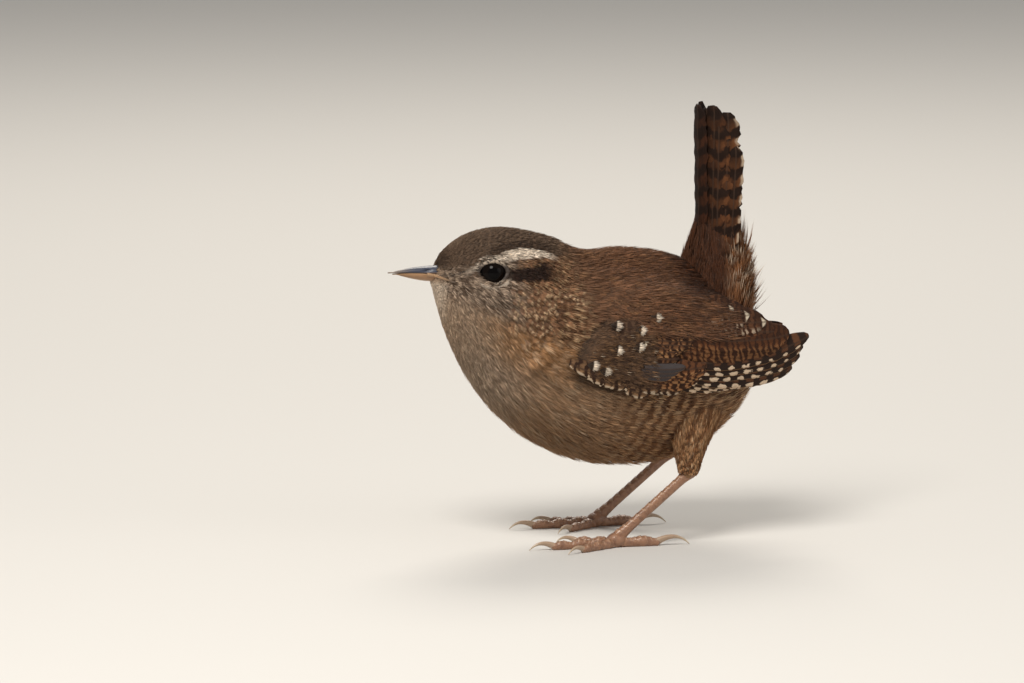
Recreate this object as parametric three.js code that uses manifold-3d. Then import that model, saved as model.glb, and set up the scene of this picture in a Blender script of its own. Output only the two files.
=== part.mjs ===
// A wren at life size, standing on both feet with its tail cocked.
// Millimetres, +Z up. The bird faces -X, its left side is towards -Y, and it stands on z = 0.
// The body is one lofted form, parted by thin cuts into head, neck and torso. Wing and tail feathers are
// overlapping vanes, set out tier by tier on the surface that they grow from.
import * as THREE from "three";
import { mergeVertices } from "three/addons/utils/BufferGeometryUtils.js";
import Module from "manifold-3d";

const wasm = await Module();
wasm.setup();

// Clearances
const GAP = 0.3; // between neighbouring parts
const VANE = 0.5; // thickness of a feather's vane

// Grids of the vanes: shares of the length, and points across
const LONG_VANE = { rows: [0, 0.35, 0.65, 0.88, 1], sides: 3 };
const SHORT_VANE = { rows: [0, 0.6, 0.9, 1], sides: 2 };

// Body stations from the bill to the vent. Each is a flat oval section, given by its top and bottom points in
// the mid-plane [x, z], its half width, and how much wider it is below than above.
const STATIONS = [
  { top: [-30.9, 53.2], bottom: [-32.4, 49.7], half: 1.9, pear: 0 },
  { top: [-29.5, 55.6], bottom: [-31.7, 47.9], half: 4.0, pear: 0 },
  { top: [-27.0, 57.7], bottom: [-31.2, 45.9], half: 5.9, pear: 0.02 },
  { top: [-23.2, 59.3], bottom: [-30.6, 43.8], half: 7.5, pear: 0.04 },
  { top: [-18.4, 59.8], bottom: [-29.7, 40.8], half: 8.8, pear: 0.06 },
  { top: [-13.0, 58.9], bottom: [-28.3, 37.3], half: 9.7, pear: 0.1 },
  { top: [-8.2, 57.5], bottom: [-26.0, 32.6], half: 10.8, pear: 0.16 },
  { top: [-4.6, 55.6], bottom: [-22.8, 27.6], half: 12.4, pear: 0.18 },
  { top: [-1.0, 54.9], bottom: [-18.4, 22.8], half: 13.9, pear: 0.14 },
  { top: [3.6, 55.2], bottom: [-12.4, 18.4], half: 15.0, pear: 0.1 },
  { top: [8.4, 54.8], bottom: [-4.8, 15.2], half: 15.5, pear: 0.06 },
  { top: [12.8, 54.0], bottom: [3.5, 14.1], half: 15.4, pear: 0.03 },
  { top: [16.8, 52.6], bottom: [11.3, 14.4], half: 14.7, pear: 0 },
  { top: [20.5, 50.4], bottom: [18.5, 16.8], half: 13.3, pear: 0 },
  { top: [24.0, 47.4], bottom: [24.6, 21.2], half: 11.2, pear: 0 },
  { top: [27.2, 43.4], bottom: [28.6, 26.2], half: 8.0, pear: 0 },
  { top: [29.5, 39.2], bottom: [30.4, 31.2], half: 4.2, pear: 0 },
  { top: [30.6, 36.6], bottom: [30.9, 34.4], half: 1.1, pear: 0 },
];
const HEAD_END = 5.9; // station numbers of the two cuts
const NECK_END = 7.6;
const TORSO_RINGS = 20;
const BODY_SIDES = 34;

// Bill
const BILL_BASE_X = -32.2; // at the mouth line
const BILL_BASE_SLOPE = 0.43; // how far the base leans back for each millimetre up
const BILL_TIP = [-40.4, 51.5];
const CULMEN_Z = 52.75;
const MOUTH_Z = 51.2;
const CHIN_Z = 49.8;
const BILL_HALF_WIDTH = 1.75;
const BILL_LOWER_SHORTER = 0.9; // the upper half reaches past the lower one
const MOUTH_ARCH = 0.3;
const MOUTH_CORNER = [-28.4, 50.1];

// Eye
const EYE = new THREE.Vector3(-22.0, 6.75, 52.1); // right eye's centre; the left is its mirror
const EYE_RADIUS = 2.6;
const EYE_TURN = 0.16; // how far each eye looks forwards, radians
const LID_HALF_LENGTH = 2.75;
const LID_HALF_HEIGHT = 2.4;
const LID_TUBE = 0.62;

// Wing: side view places [x, z] on the sheet that lies over the flank
const WING_CHORD = { half: 15.3, centreX: 6, centreZ: 33, bendX: 0.0083, bendZ: 0.03 };
const WING_LIFT = 0.36; // inner face above the flank
const SHOULDER_THICKNESS = 1.2;
const SHOULDER_LOWER = [[-9.0, 34.6], [-4.0, 31.9], [3.0, 30.4], [9.5, 30.6], [14.5, 32.4]];
const SHOULDER_UPPER = [[-8.6, 37.2], [-4.6, 42.0], [3.0, 46.2], [9.5, 46.8], [15.5, 45.2]];
// Tiers of vanes from the lowest up: places run from the outer feather to the inner one
const WING_TIERS = [
  {
    count: 7, vane: LONG_VANE, width: 4.8, lift: 0, rise: 0.16, bow: -0.045,
    roots: [[8.5, 32.6], [9.5, 33.6], [10.5, 35.4]],
    tips: [[24.6, 31.6], [35.2, 33.5], [37.6, 37.0]],
  },
  {
    count: 4, vane: LONG_VANE, width: 5.4, lift: 0.65, rise: 0.16, bow: -0.035,
    roots: [[10.5, 35.4], [11.0, 37.6], [11.5, 39.8]],
    tips: [[29.3, 37.0], [32.0, 37.4], [33.8, 38.2]],
  },
  {
    count: 3, vane: LONG_VANE, width: 5.8, lift: 1.05, rise: 0.16, bow: 0.035,
    roots: [[11.0, 40.0], [11.5, 41.8], [12.5, 43.2]],
    tips: [[31.0, 39.2], [27.0, 41.4], [21.8, 43.2]],
  },
  {
    count: 3, vane: SHORT_VANE, width: 3.4, lift: 0.7, rise: 0.16, bow: -0.03,
    roots: [[3.5, 31.9], [4.5, 33.2], [5.0, 34.6]],
    tips: [[14.6, 31.9], [15.0, 33.2], [15.0, 34.6]],
  },
  {
    count: 6, vane: SHORT_VANE, width: 3.6, lift: 1.15, rise: 0.12, bow: -0.02,
    roots: [[1.0, 36.4], [2.5, 39.2], [5.5, 42.2]],
    tips: [[9.4, 35.8], [13.2, 38.2], [16.4, 41.6]],
  },
  {
    count: 5, vane: SHORT_VANE, width: 3.7, lift: 1.45, rise: 0.12, bow: -0.02,
    roots: [[-5.5, 36.2], [-3.8, 38.8], [-0.5, 42.0]],
    tips: [[1.2, 35.6], [4.2, 38.4], [6.8, 42.2]],
  },
];

// Tail: a fan of twelve feathers, arched across its width
const TAIL_ROOT = [19.6, 46.0]; // [x, z] of the ridge's lower end
const TAIL_LEAN = -0.004; // radians, forwards
const TAIL_ARCH = [5.8, 7.4]; // radius of the arch at the root and at the tip
const TAIL_LENGTHS = [35.6, 35.5, 35.3, 34.4, 32.0, 27.8];
const TAIL_FIRST = 0.13; // radians round the arch
const TAIL_STEP = 0.235;
const TAIL_WIDTH = 5.6;
const TAIL_RISE = 0.14;
const RUMP = [
  { at: [22.6, 43.5], halfX: 7.0, halfY: 7.2 },
  { at: [22.9, 50.5], halfX: 6.3, halfY: 6.6 },
  { at: [22.9, 55.0], halfX: 4.9, halfY: 5.6 },
  { at: [22.7, 60.5], halfX: 2.7, halfY: 3.6 },
];
const UPPER_COVERTS = { count: 5, spread: 0.42, foot: [18.6, 47.5], length: 15.5, arch: 5.9, lift: 0.35, width: 4.6 };
const UNDER_COVERTS = { count: 5, spread: 0.4, foot: [26.6, 43.5], length: 14.5, arch: 6.6, lift: 0.1, width: 5.2 };

// Legs: the left foot stands a little ahead of the right
const FEET = [
  { side: "left", sign: -1, ball: [0.6, 12.0], ankle: [15.4, 11.0, 13.6] },
  { side: "right", sign: 1, ball: [3.4, 12.0], ankle: [17.8, 11.0, 14.0] },
];
const BALL_Z = 1.35;
const THIGH = [
  { back: 1.6, inward: 3.2, up: 12.6, halfX: 6.2, halfY: 4.4 },
  { back: 0.6, inward: 1.6, up: 8.2, halfX: 4.6, halfY: 3.6 },
  { back: -0.2, inward: 0.4, up: 3.6, halfX: 3.0, halfY: 2.5 },
  { back: -0.5, inward: 0, up: 0.4, halfX: 2.2, halfY: 1.9 },
  { back: -1.0, inward: 0, up: -1.2, halfX: 1.5, halfY: 1.35 },
];
const TARSUS_HALF = { depth: 0.92, width: 0.72 };
const ANKLE_RADIUS = 1.2;
// Toes: direction from straight ahead, positive outwards, in radians
const TOES = [
  { name: "inner", turn: -0.66, length: 8.4, radius: 0.82, claw: 3.9 },
  { name: "middle", turn: 0.03, length: 12.6, radius: 0.88, claw: 4.6 },
  { name: "outer", turn: 0.56, length: 9.4, radius: 0.8, claw: 4.0 },
  { name: "hind", turn: Math.PI - 0.06, length: 8.2, radius: 0.95, claw: 6.2 },
];

// Colours
const COLOURS = {
  crown: "#54463c",
  mantle: "#6b4f3b",
  breast: "#a08a6c",
  wing: "#6a4a33",
  tail: "#4f3524",
  bill: "#4a4440",
  billBelow: "#a88a66",
  eye: "#120c0a",
  leg: "#a9806a",
  claw: "#b79f84",
};

const point = (x, y, z) => new THREE.Vector3(x, y, z);
const mix = THREE.MathUtils.lerp;

// A smooth curve through named places; t runs evenly from one place to the next
function through(places) {
  const curve = new THREE.CatmullRomCurve3(places.map((p) => point(p[0], 0, p[1])), false, "catmullrom", 0.5);
  return (t) => {
    const p = curve.getPoint(t);
    return [p.x, p.z];
  };
}

const LAST = STATIONS.length - 1;
const topLine = through(STATIONS.map((s) => s.top));
const bottomLine = through(STATIONS.map((s) => s.bottom));
const breadth = through(STATIONS.map((s) => [s.half, s.pear]));

// One section of the body
function section(station) {
  const t = station / LAST;
  const top = topLine(t);
  const bottom = bottomLine(t);
  const [half, pear] = breadth(t);
  const height = Math.hypot(top[0] - bottom[0], top[1] - bottom[1]);
  return {
    centre: [(top[0] + bottom[0]) / 2, (top[1] + bottom[1]) / 2],
    up: [(top[0] - bottom[0]) / height, (top[1] - bottom[1]) / height],
    tall: height / 2,
    half,
    pear,
  };
}

// A point of the body's surface: angle 0 is the back, pi the belly, and positive angles are the bird's right.
// It can be moved along the body, for a parting cut
function bodyPoint(station, angle, along = 0) {
  const s = section(station);
  const rise = Math.cos(angle) * s.tall;
  const y = s.half * Math.sin(angle) * (1 - s.pear * Math.cos(angle));
  return point(s.centre[0] + s.up[0] * rise + s.up[1] * along, y, s.centre[1] + s.up[1] * rise - s.up[0] * along);
}

function bodyNormal(station, angle) {
  const step = 0.02;
  const after = bodyPoint(Math.min(station + step, LAST), angle);
  const ahead = after.sub(bodyPoint(Math.max(station - step, 0), angle));
  const around = bodyPoint(station, angle + step).sub(bodyPoint(station, angle - step));
  return ahead.cross(around).normalize();
}

// How far out the flank lies at a side view place, or a negative number off the body
function flank(x, z) {
  let low = 0;
  let high = LAST;
  for (let i = 0; i < 24; i++) {
    const middle = (low + high) / 2;
    const s = section(middle);
    const ahead = (x - s.centre[0]) * s.up[1] - (z - s.centre[1]) * s.up[0];
    if (ahead > 0) low = middle;
    else high = middle;
  }
  const s = section(low);
  const cosine = ((x - s.centre[0]) * s.up[0] + (z - s.centre[1]) * s.up[1]) / s.tall;
  if (Math.abs(cosine) >= 1) return -1;
  return s.half * Math.sqrt(1 - cosine * cosine) * (1 - s.pear * cosine);
}

// The sheet that the folded wing lies on: the flank, carried on past the body in a long curve
function sheetY(x, z) {
  const c = WING_CHORD;
  const chord = c.half - c.bendX * (x - c.centreX) ** 2 - c.bendZ * (z - c.centreZ) ** 2;
  const body = flank(x, z);
  const blend = 1.2;
  const share = Math.max(blend - Math.abs(chord - body), 0) / blend;
  return Math.max(chord, body) + (share * share * blend) / 4;
}

function sheetPoint(x, z, lift) {
  const step = 0.4;
  const y = sheetY(x, z);
  const slopeX = (sheetY(x + step, z) - sheetY(x - step, z)) / (2 * step);
  const slopeZ = (sheetY(x, z + step) - sheetY(x, z - step)) / (2 * step);
  const normal = point(-slopeX, 1, -slopeZ).normalize();
  return point(x, y, z).addScaledVector(normal, lift);
}

function geometryOf(points, index) {
  const geometry = new THREE.BufferGeometry();
  geometry.setAttribute("position", new THREE.Float32BufferAttribute(points.flatMap((p) => [p.x, p.y, p.z]), 3));
  geometry.setIndex(index);
  return geometry;
}

// A closed form through rings of equally many points, with a flat cap on each end
function loft(rings) {
  const n = rings[0].length;
  const index = [];
  for (let r = 0; r + 1 < rings.length; r++) {
    for (let i = 0; i < n; i++) {
      const a = r * n + i;
      const b = r * n + ((i + 1) % n);
      index.push(a, b, b + n, a, b + n, a + n);
    }
  }
  const points = rings.flat();
  [rings[0], rings[rings.length - 1]].forEach((ring, end) => {
    const middle = ring.reduce((sum, p) => sum.add(p), point(0, 0, 0)).divideScalar(n);
    const base = end ? (rings.length - 1) * n : 0;
    for (let i = 0; i < n; i++) {
      const a = base + i;
      const b = base + ((i + 1) % n);
      index.push(...(end ? [a, b, points.length] : [b, a, points.length]));
    }
    points.push(middle);
  });
  return geometryOf(points, index);
}

// A closed plate between two like grids of points, with the same triangles on both faces
function plate(inner, outer) {
  const rows = inner.length;
  const columns = inner[0].length;
  const shift = rows * columns;
  const at = (r, c) => r * columns + c;
  const index = [];
  for (let r = 0; r + 1 < rows; r++) {
    for (let c = 0; c + 1 < columns; c++) {
      const cell = [at(r, c), at(r + 1, c), at(r + 1, c + 1), at(r, c + 1)];
      index.push(cell[0] + shift, cell[1] + shift, cell[2] + shift, cell[0] + shift, cell[2] + shift, cell[3] + shift);
      index.push(cell[0], cell[2], cell[1], cell[0], cell[3], cell[2]);
    }
  }
  const rim = [];
  for (let r = 0; r < rows - 1; r++) rim.push(at(r, 0));
  for (let c = 0; c < columns - 1; c++) rim.push(at(rows - 1, c));
  for (let r = rows - 1; r > 0; r--) rim.push(at(r, columns - 1));
  for (let c = columns - 1; c > 0; c--) rim.push(at(0, c));
  rim.forEach((a, i) => {
    const b = rim[(i + 1) % rim.length];
    index.push(b + shift, a + shift, a, b + shift, a, b);
  });
  return geometryOf([...inner.flat(), ...outer.flat()], index);
}

// A closed geometry as a solid, turned to face outwards
function solid(geometry) {
  const bare = geometry.clone();
  ["normal", "uv"].forEach((name) => bare.deleteAttribute(name));
  const merged = mergeVertices(bare, 1e-4);
  const kept = [];
  const index = merged.index.array;
  for (let i = 0; i < index.length; i += 3) {
    const [a, b, c] = [index[i], index[i + 1], index[i + 2]];
    if (a !== b && b !== c && c !== a) kept.push(a, b, c);
  }
  const make = (triVerts) =>
    new wasm.Manifold(
      new wasm.Mesh({ numProp: 3, vertProperties: merged.attributes.position.array, triVerts: new Uint32Array(triVerts) }),
    );
  const made = make(kept);
  return made.volume() > 0 ? made : make(kept.reverse());
}

const join = (solids) => solids.reduce((whole, next) => whole.add(next));
const largest = (made) => made.decompose().reduce((best, next) => (next.volume() > best.volume() ? next : best));

const sphere = (centre, radius, around = 16, down = 8) =>
  solid(new THREE.SphereGeometry(radius, around, down).translate(centre.x, centre.y, centre.z));

// The body between two cuts, or a copy of it grown outwards to cut its neighbours clear
function bodyBetween(from, to, rings, around, grow = 0) {
  const list = [];
  for (let r = 0; r <= rings; r++) {
    const station = mix(from, to, r / rings);
    const end = r === 0 && from > 0 ? 1 : r === rings && to < LAST ? -1 : 0;
    const ring = [];
    for (let i = 0; i < around; i++) {
      const angle = (i / around) * 2 * Math.PI;
      ring.push(bodyPoint(station, angle, (end * GAP) / 2).addScaledVector(bodyNormal(station, angle), grow));
    }
    list.push(ring);
  }
  return solid(loft(list));
}

// An oval ring across a direction, its upright half size along "up"
function ovalRing(centre, direction, halfUp, halfSide, around, floor = -Infinity) {
  const side = new THREE.Vector3().crossVectors(direction, point(0, 0, 1)).normalize();
  const up = new THREE.Vector3().crossVectors(side, direction).normalize();
  const ring = [];
  for (let i = 0; i < around; i++) {
    const a = (i / around) * 2 * Math.PI;
    const p = centre.clone().addScaledVector(up, halfUp * Math.cos(a)).addScaledVector(side, halfSide * Math.sin(a));
    p.z = Math.max(p.z, floor);
    ring.push(p);
  }
  return ring;
}

function head() {
  const lids = [-1, 1].map((side) => {
    const shape = new THREE.TorusGeometry(1, 1, 6, 18);
    const position = shape.attributes.position;
    // the unit ring is reshaped into an almond that hugs the eyeball
    for (let i = 0; i < position.count; i++) {
      const p = point(position.getX(i), position.getY(i), position.getZ(i));
      const around = Math.atan2(p.y, p.x);
      const outwards = Math.hypot(p.x, p.y) - 1;
      const x = Math.cos(around) * (LID_HALF_LENGTH + LID_TUBE * outwards);
      const y = Math.sin(around) * (LID_HALF_HEIGHT + LID_TUBE * outwards);
      position.setXYZ(i, x, y, p.z * LID_TUBE);
    }
    shape.translate(0, 0, Math.sqrt(EYE_RADIUS ** 2 - 1.9 ** 2) - 0.1);
    shape.rotateX(Math.PI / 2);
    shape.rotateZ(Math.PI + EYE_TURN);
    const ring = solid(shape.translate(EYE.x, EYE.y, EYE.z));
    return side > 0 ? ring : ring.mirror([0, 1, 0]);
  });
  const mouth = solid(
    plate(
      [0, 1].map((r) => [-9, 9].map((y) => point(mix(BILL_BASE_X - 2, MOUTH_CORNER[0], r), y, mix(MOUTH_Z + 0.3, MOUTH_CORNER[1], r) - 0.16))),
      [0, 1].map((r) => [-9, 9].map((y) => point(mix(BILL_BASE_X - 2, MOUTH_CORNER[0], r), y, mix(MOUTH_Z + 0.3, MOUTH_CORNER[1], r) + 0.16))),
    ),
  );
  const whole = join([bodyBetween(0, HEAD_END, 15, 28), ...lids]);
  const sockets = [-1, 1].map((side) => sphere(point(EYE.x, side * EYE.y, EYE.z), EYE_RADIUS + 1.25 * GAP));
  return largest(whole.subtract(join([...sockets, mouth])));
}

// One half of the bill, from the mouth line to its outer edge at outerZ
function bill(outerZ, shorter) {
  const steps = 8;
  const around = 9;
  const away = Math.sign(outerZ - MOUTH_Z);
  const rings = [];
  for (let r = 0; r <= steps; r++) {
    const t = r / steps;
    const mouth = mix(MOUTH_Z, BILL_TIP[1], t * t) + MOUTH_ARCH * Math.sin(Math.PI * t) + (away * GAP) / 2;
    const outer = mix(outerZ, BILL_TIP[1], t ** 2.4);
    const half = Math.max(BILL_HALF_WIDTH * (1 - t) ** 0.75, 0.22);
    const tall = Math.max((outer - mouth) * away, 0.25) * away;
    const ring = [];
    for (let i = 0; i < around; i++) {
      const a = (Math.PI * i) / (around - 1);
      const z = mouth + tall * Math.sin(a) ** 0.8;
      const base = BILL_BASE_X + BILL_BASE_SLOPE * (z - MOUTH_Z);
      ring.push(point(mix(base, BILL_TIP[0] + shorter, t), half * Math.cos(a), z));
    }
    rings.push(ring);
  }
  return solid(loft(rings));
}

function upperBill() {
  const nostrils = [-1, 1].map((side) => {
    const slit = new THREE.SphereGeometry(1, 10, 6).scale(0.85, 0.45, 0.26).rotateY(0.12);
    return solid(slit.translate(BILL_BASE_X - 1.0, side * BILL_HALF_WIDTH * 0.78, CULMEN_Z - 0.72));
  });
  return largest(bill(CULMEN_Z, 0).subtract(join(nostrils)));
}

const lowerBill = () => bill(CHIN_Z, BILL_LOWER_SHORTER);

// A feather's outline: half width, as a share of the widest, from root to tip
function outline(t) {
  const root = Math.min(1, 0.5 + 1.5 * t);
  const tip = t > 0.7 ? Math.sqrt(Math.max(0, 1 - ((t - 0.7) / 0.315) ** 2)) : 1;
  return root * tip;
}

const across = (vane) => Array.from({ length: vane.sides }, (_, c) => (2 * c) / (vane.sides - 1) - 1);

// A feather laid on the wing's sheet
function wingVane({ root, tip, width, lift, bow, vane }) {
  const along = [tip[0] - root[0], tip[1] - root[1]];
  const length = Math.hypot(...along);
  const aside = [-along[1] / length, along[0] / length];
  const grid = (height) =>
    vane.rows.map((t) => {
      const bend = bow * length * 4 * t * (1 - t);
      return across(vane).map((c) => {
        const out = bend + (c * outline(t) * width) / 2;
        return sheetPoint(root[0] + along[0] * t + aside[0] * out, root[1] + along[1] * t + aside[1] * out, height);
      });
    });
  return solid(plate(grid(lift), grid(lift + VANE)));
}

function wing(side) {
  const lower = through(SHOULDER_LOWER);
  const upper = through(SHOULDER_UPPER);
  const rows = 8;
  const columns = 6;
  const grid = (outer) =>
    Array.from({ length: rows + 1 }, (_, r) =>
      Array.from({ length: columns + 1 }, (_, c) => {
        const a = lower(r / rows);
        const b = upper(r / rows);
        const share = c / columns;
        const dome = Math.sqrt(Math.sin(Math.PI * share) * Math.sin(Math.PI * Math.min(1, 0.12 + r / rows)));
        const height = WING_LIFT + (outer ? VANE + (SHOULDER_THICKNESS - VANE) * dome : 0);
        return sheetPoint(mix(a[0], b[0], share), mix(a[1], b[1], share), height);
      }),
    );
  const pieces = [solid(plate(grid(false), grid(true)))];
  for (const tier of WING_TIERS) {
    const roots = through(tier.roots);
    const tips = through(tier.tips);
    for (let i = 0; i < tier.count; i++) {
      const share = i / (tier.count - 1);
      const lift = WING_LIFT + tier.lift + tier.rise * i;
      pieces.push(wingVane({ ...tier, root: roots(share), tip: tips(share), lift }));
    }
  }
  const whole = largest(join(pieces));
  return side > 0 ? whole : whole.mirror([0, 1, 0]);
}

// A feather of the tail or its coverts, standing on an arch round an upright axis.
// facing is -1 where the feather looks forwards and 1 where it looks back
function archVane({ foot, facing, angle, length, width, arch, lift, lean, vane = LONG_VANE }) {
  const grid = (depth) =>
    vane.rows.map((t) => {
      const radius = mix(arch[0], arch[1], t);
      return across(vane).map((c) => {
        const turn = angle + (c * outline(t) * width) / 2 / radius;
        const reach = radius - lift - depth;
        return point(
          foot[0] - facing * arch[0] + facing * (reach * Math.cos(turn) - (radius - arch[0])) + lean * length * t,
          reach * Math.sin(turn),
          foot[1] + length * t,
        );
      });
    });
  return solid(plate(grid(VANE), grid(0)));
}

function tail() {
  const rings = RUMP.map((r) =>
    ovalRing(point(r.at[0], 0, r.at[1]), point(0, 0, 1).setX(1e-6), r.halfX, r.halfY, 24),
  );
  const pieces = [solid(loft(rings))];
  for (const side of [-1, 1]) {
    TAIL_LENGTHS.forEach((length, i) => {
      const angle = side * (TAIL_FIRST + TAIL_STEP * i);
      pieces.push(
        archVane({
          foot: TAIL_ROOT, facing: -1, angle, length, arch: TAIL_ARCH, lean: TAIL_LEAN,
          width: i === TAIL_LENGTHS.length - 1 ? TAIL_WIDTH * 0.75 : TAIL_WIDTH,
          lift: TAIL_RISE * i + (side > 0 ? TAIL_RISE / 2 : 0),
        }),
      );
    });
  }
  for (const [coverts, facing] of [[UPPER_COVERTS, -1], [UNDER_COVERTS, 1]]) {
    const middle = (coverts.count - 1) / 2;
    for (let i = 0; i < coverts.count; i++) {
      pieces.push(
        archVane({
          foot: coverts.foot, facing, angle: (i - middle) * coverts.spread, width: coverts.width,
          length: coverts.length - Math.abs(i - middle) * 1.6, arch: [coverts.arch, coverts.arch],
          lift: coverts.lift + 0.2 * Math.abs(i - middle), lean: facing > 0 ? -0.2 : 0.12, vane: SHORT_VANE,
        }),
      );
    }
  }
  return largest(join(pieces).subtract(bodyBetween(NECK_END, LAST, TORSO_RINGS, BODY_SIDES, 1.1 * GAP)));
}

function thigh(foot) {
  const [x, y, z] = foot.ankle;
  const rings = THIGH.map((ring, i) => {
    const next = THIGH[Math.min(i + 1, THIGH.length - 1)];
    const last = THIGH[Math.max(i - 1, 0)];
    const direction = point(next.back - last.back, -(next.inward - last.inward) * foot.sign, next.up - last.up).normalize();
    const centre = point(x + ring.back, foot.sign * (y - ring.inward), z + ring.up);
    return ovalRing(centre, direction, ring.halfX, ring.halfY, 14);
  });
  return solid(loft(rings));
}

// The two ends of the bare shank
function shank(foot) {
  const ball = point(foot.ball[0], foot.sign * foot.ball[1], BALL_Z + 0.25);
  const ankle = point(foot.ankle[0], foot.sign * foot.ankle[1], foot.ankle[2]);
  const direction = ankle.clone().sub(ball).normalize();
  return { ball, ankle, direction, length: ankle.distanceTo(ball) };
}

function shankRings(foot, from, to, steps, grow = 0) {
  const { ball, direction } = shank(foot);
  const rings = [];
  for (let r = 0; r <= steps; r++) {
    const along = mix(from, to, r / steps);
    const swell = 1 + 0.35 * Math.exp(-((along / 2.6) ** 2));
    const centre = ball.clone().addScaledVector(direction, along);
    rings.push(ovalRing(centre, direction, TARSUS_HALF.depth * swell + grow, TARSUS_HALF.width * swell + grow, 12));
  }
  return rings;
}
const SHANK_CUT = 2.6; // the foot's share of the shank, above the ball

function tarsus(foot, grow = 0) {
  const { ankle, length } = shank(foot);
  const rod = solid(loft(shankRings(foot, SHANK_CUT + GAP / 2 - grow, length, 5, grow)));
  return rod.add(sphere(ankle, ANKLE_RADIUS + grow, 12, 8));
}

// Where a toe lies: its direction, and the height of its middle line above the floor
const toeDirection = (foot, toe) => point(-Math.cos(toe.turn), foot.sign * Math.sin(toe.turn), 0);

function toeSolid(foot, toe) {
  const direction = toeDirection(foot, toe);
  const start = point(foot.ball[0], foot.sign * foot.ball[1], 0);
  const steps = 6;
  const rings = [];
  for (let r = 0; r <= steps; r++) {
    const t = r / steps;
    const pads = 1 + 0.1 * Math.cos(3 * 2 * Math.PI * t);
    const radius = toe.radius * mix(1.18, 0.82, t) * pads;
    const centre = start.clone().addScaledVector(direction, toe.length * t).setZ(radius * 0.82);
    rings.push(ovalRing(centre, direction, radius, radius * 0.95, 8, 0));
  }
  return solid(loft(rings));
}

function clawSolid(foot, toe) {
  const direction = toeDirection(foot, toe);
  const radius = toe.radius * 0.66;
  const base = point(foot.ball[0], foot.sign * foot.ball[1], toe.radius * 0.74);
  base.addScaledVector(direction, toe.length + GAP);
  const knee = base.clone().addScaledVector(direction, toe.claw * 0.62).setZ(base.z + toe.claw * 0.2);
  const tip = base.clone().addScaledVector(direction, toe.claw).setZ(0.2);
  const curve = new THREE.QuadraticBezierCurve3(base, knee, tip);
  const steps = 5;
  const rings = [];
  for (let r = 0; r <= steps; r++) {
    const t = r / steps;
    const size = mix(radius, 0.16, t ** 0.85);
    const heading = r === 0 ? direction : curve.getTangent(t);
    rings.push(ovalRing(curve.getPoint(t), heading, size, size * 0.8, 6, 0.05));
  }
  return solid(loft(rings));
}

function footSolid(foot) {
  const rings = shankRings(foot, -0.4, SHANK_CUT - GAP / 2, 3);
  const ball = solid(
    loft(
      [-1.5, -0.9, 0, 0.9, 1.5].map((x) => {
        const size = 1.5 * Math.sqrt(1 - (x / 1.75) ** 2);
        return ovalRing(point(foot.ball[0] + x, foot.sign * foot.ball[1], size * 0.85), point(1, 0, 0), size, size, 12, 0);
      }),
    ),
  );
  return largest(join([solid(loft(rings)), ball, ...TOES.map((toe) => toeSolid(foot, toe))]));
}

// The scene: one named mesh for each part
const wren = new THREE.Group();

function add(name, made, colour, roughness = 0.85) {
  const { vertProperties, triVerts, numProp, numVert } = made.getMesh();
  const position = new Float32Array(numVert * 3);
  for (let i = 0; i < numVert; i++) position.set(vertProperties.subarray(i * numProp, i * numProp + 3), i * 3);
  const geometry = new THREE.BufferGeometry();
  geometry.setAttribute("position", new THREE.BufferAttribute(position, 3));
  geometry.setIndex(new THREE.BufferAttribute(triVerts, 1));
  geometry.computeVertexNormals();
  const mesh = new THREE.Mesh(geometry, new THREE.MeshStandardMaterial({ color: colour, roughness, metalness: 0 }));
  mesh.name = name;
  wren.add(mesh);
}

add("torso", bodyBetween(NECK_END, LAST, TORSO_RINGS, BODY_SIDES), COLOURS.breast);
add("neck", bodyBetween(HEAD_END, NECK_END, 4, BODY_SIDES), COLOURS.mantle);
add("head", head(), COLOURS.crown);
add("bill_upper", upperBill(), COLOURS.bill, 0.35);
add("bill_lower", lowerBill(), COLOURS.billBelow, 0.4);
add("tail", tail(), COLOURS.tail);

for (const foot of FEET) {
  const { side, sign } = foot;
  add(`eye_${side}`, sphere(point(EYE.x, sign * EYE.y, EYE.z), EYE_RADIUS), COLOURS.eye, 0.05);
  add(`wing_${side}`, wing(sign), COLOURS.wing);
  const clear = join([tarsus(foot, GAP), bodyBetween(NECK_END, LAST, TORSO_RINGS, BODY_SIDES, 1.1 * GAP)]);
  add(`thigh_${side}`, largest(thigh(foot).subtract(clear)), COLOURS.breast);
  add(`tarsus_${side}`, tarsus(foot), COLOURS.leg, 0.5);
  add(`foot_${side}`, footSolid(foot), COLOURS.leg, 0.5);
  for (const toe of TOES) add(`claw_${side}_${toe.name}`, clawSolid(foot, toe), COLOURS.claw, 0.35);
}

// The origin is on the floor, under the middle of the whole bird
const box = new THREE.Box3().setFromObject(wren);
wren.position.set(-(box.min.x + box.max.x) / 2, -(box.min.y + box.max.y) / 2, -box.min.z);

export default wren;
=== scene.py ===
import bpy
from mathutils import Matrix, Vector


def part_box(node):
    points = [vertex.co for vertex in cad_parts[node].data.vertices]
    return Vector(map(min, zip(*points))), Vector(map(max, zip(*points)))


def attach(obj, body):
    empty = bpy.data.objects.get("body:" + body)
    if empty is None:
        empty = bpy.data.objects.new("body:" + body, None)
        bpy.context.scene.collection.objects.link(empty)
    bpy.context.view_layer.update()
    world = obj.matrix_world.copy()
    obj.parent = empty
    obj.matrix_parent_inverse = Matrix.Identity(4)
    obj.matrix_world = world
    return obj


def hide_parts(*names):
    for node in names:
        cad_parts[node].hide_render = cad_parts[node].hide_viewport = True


bl_info = {
    "name": "Cocked-tail wren",
    "version": (1, 0, 0),
    "blender": (4, 5, 0),
    "location": "View3D > Sidebar > Wren",
    "description": "Plumage, bill, eyes, legs and claws of a life-size wren, built round its packed solids",
    "category": "Object",
}

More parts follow.
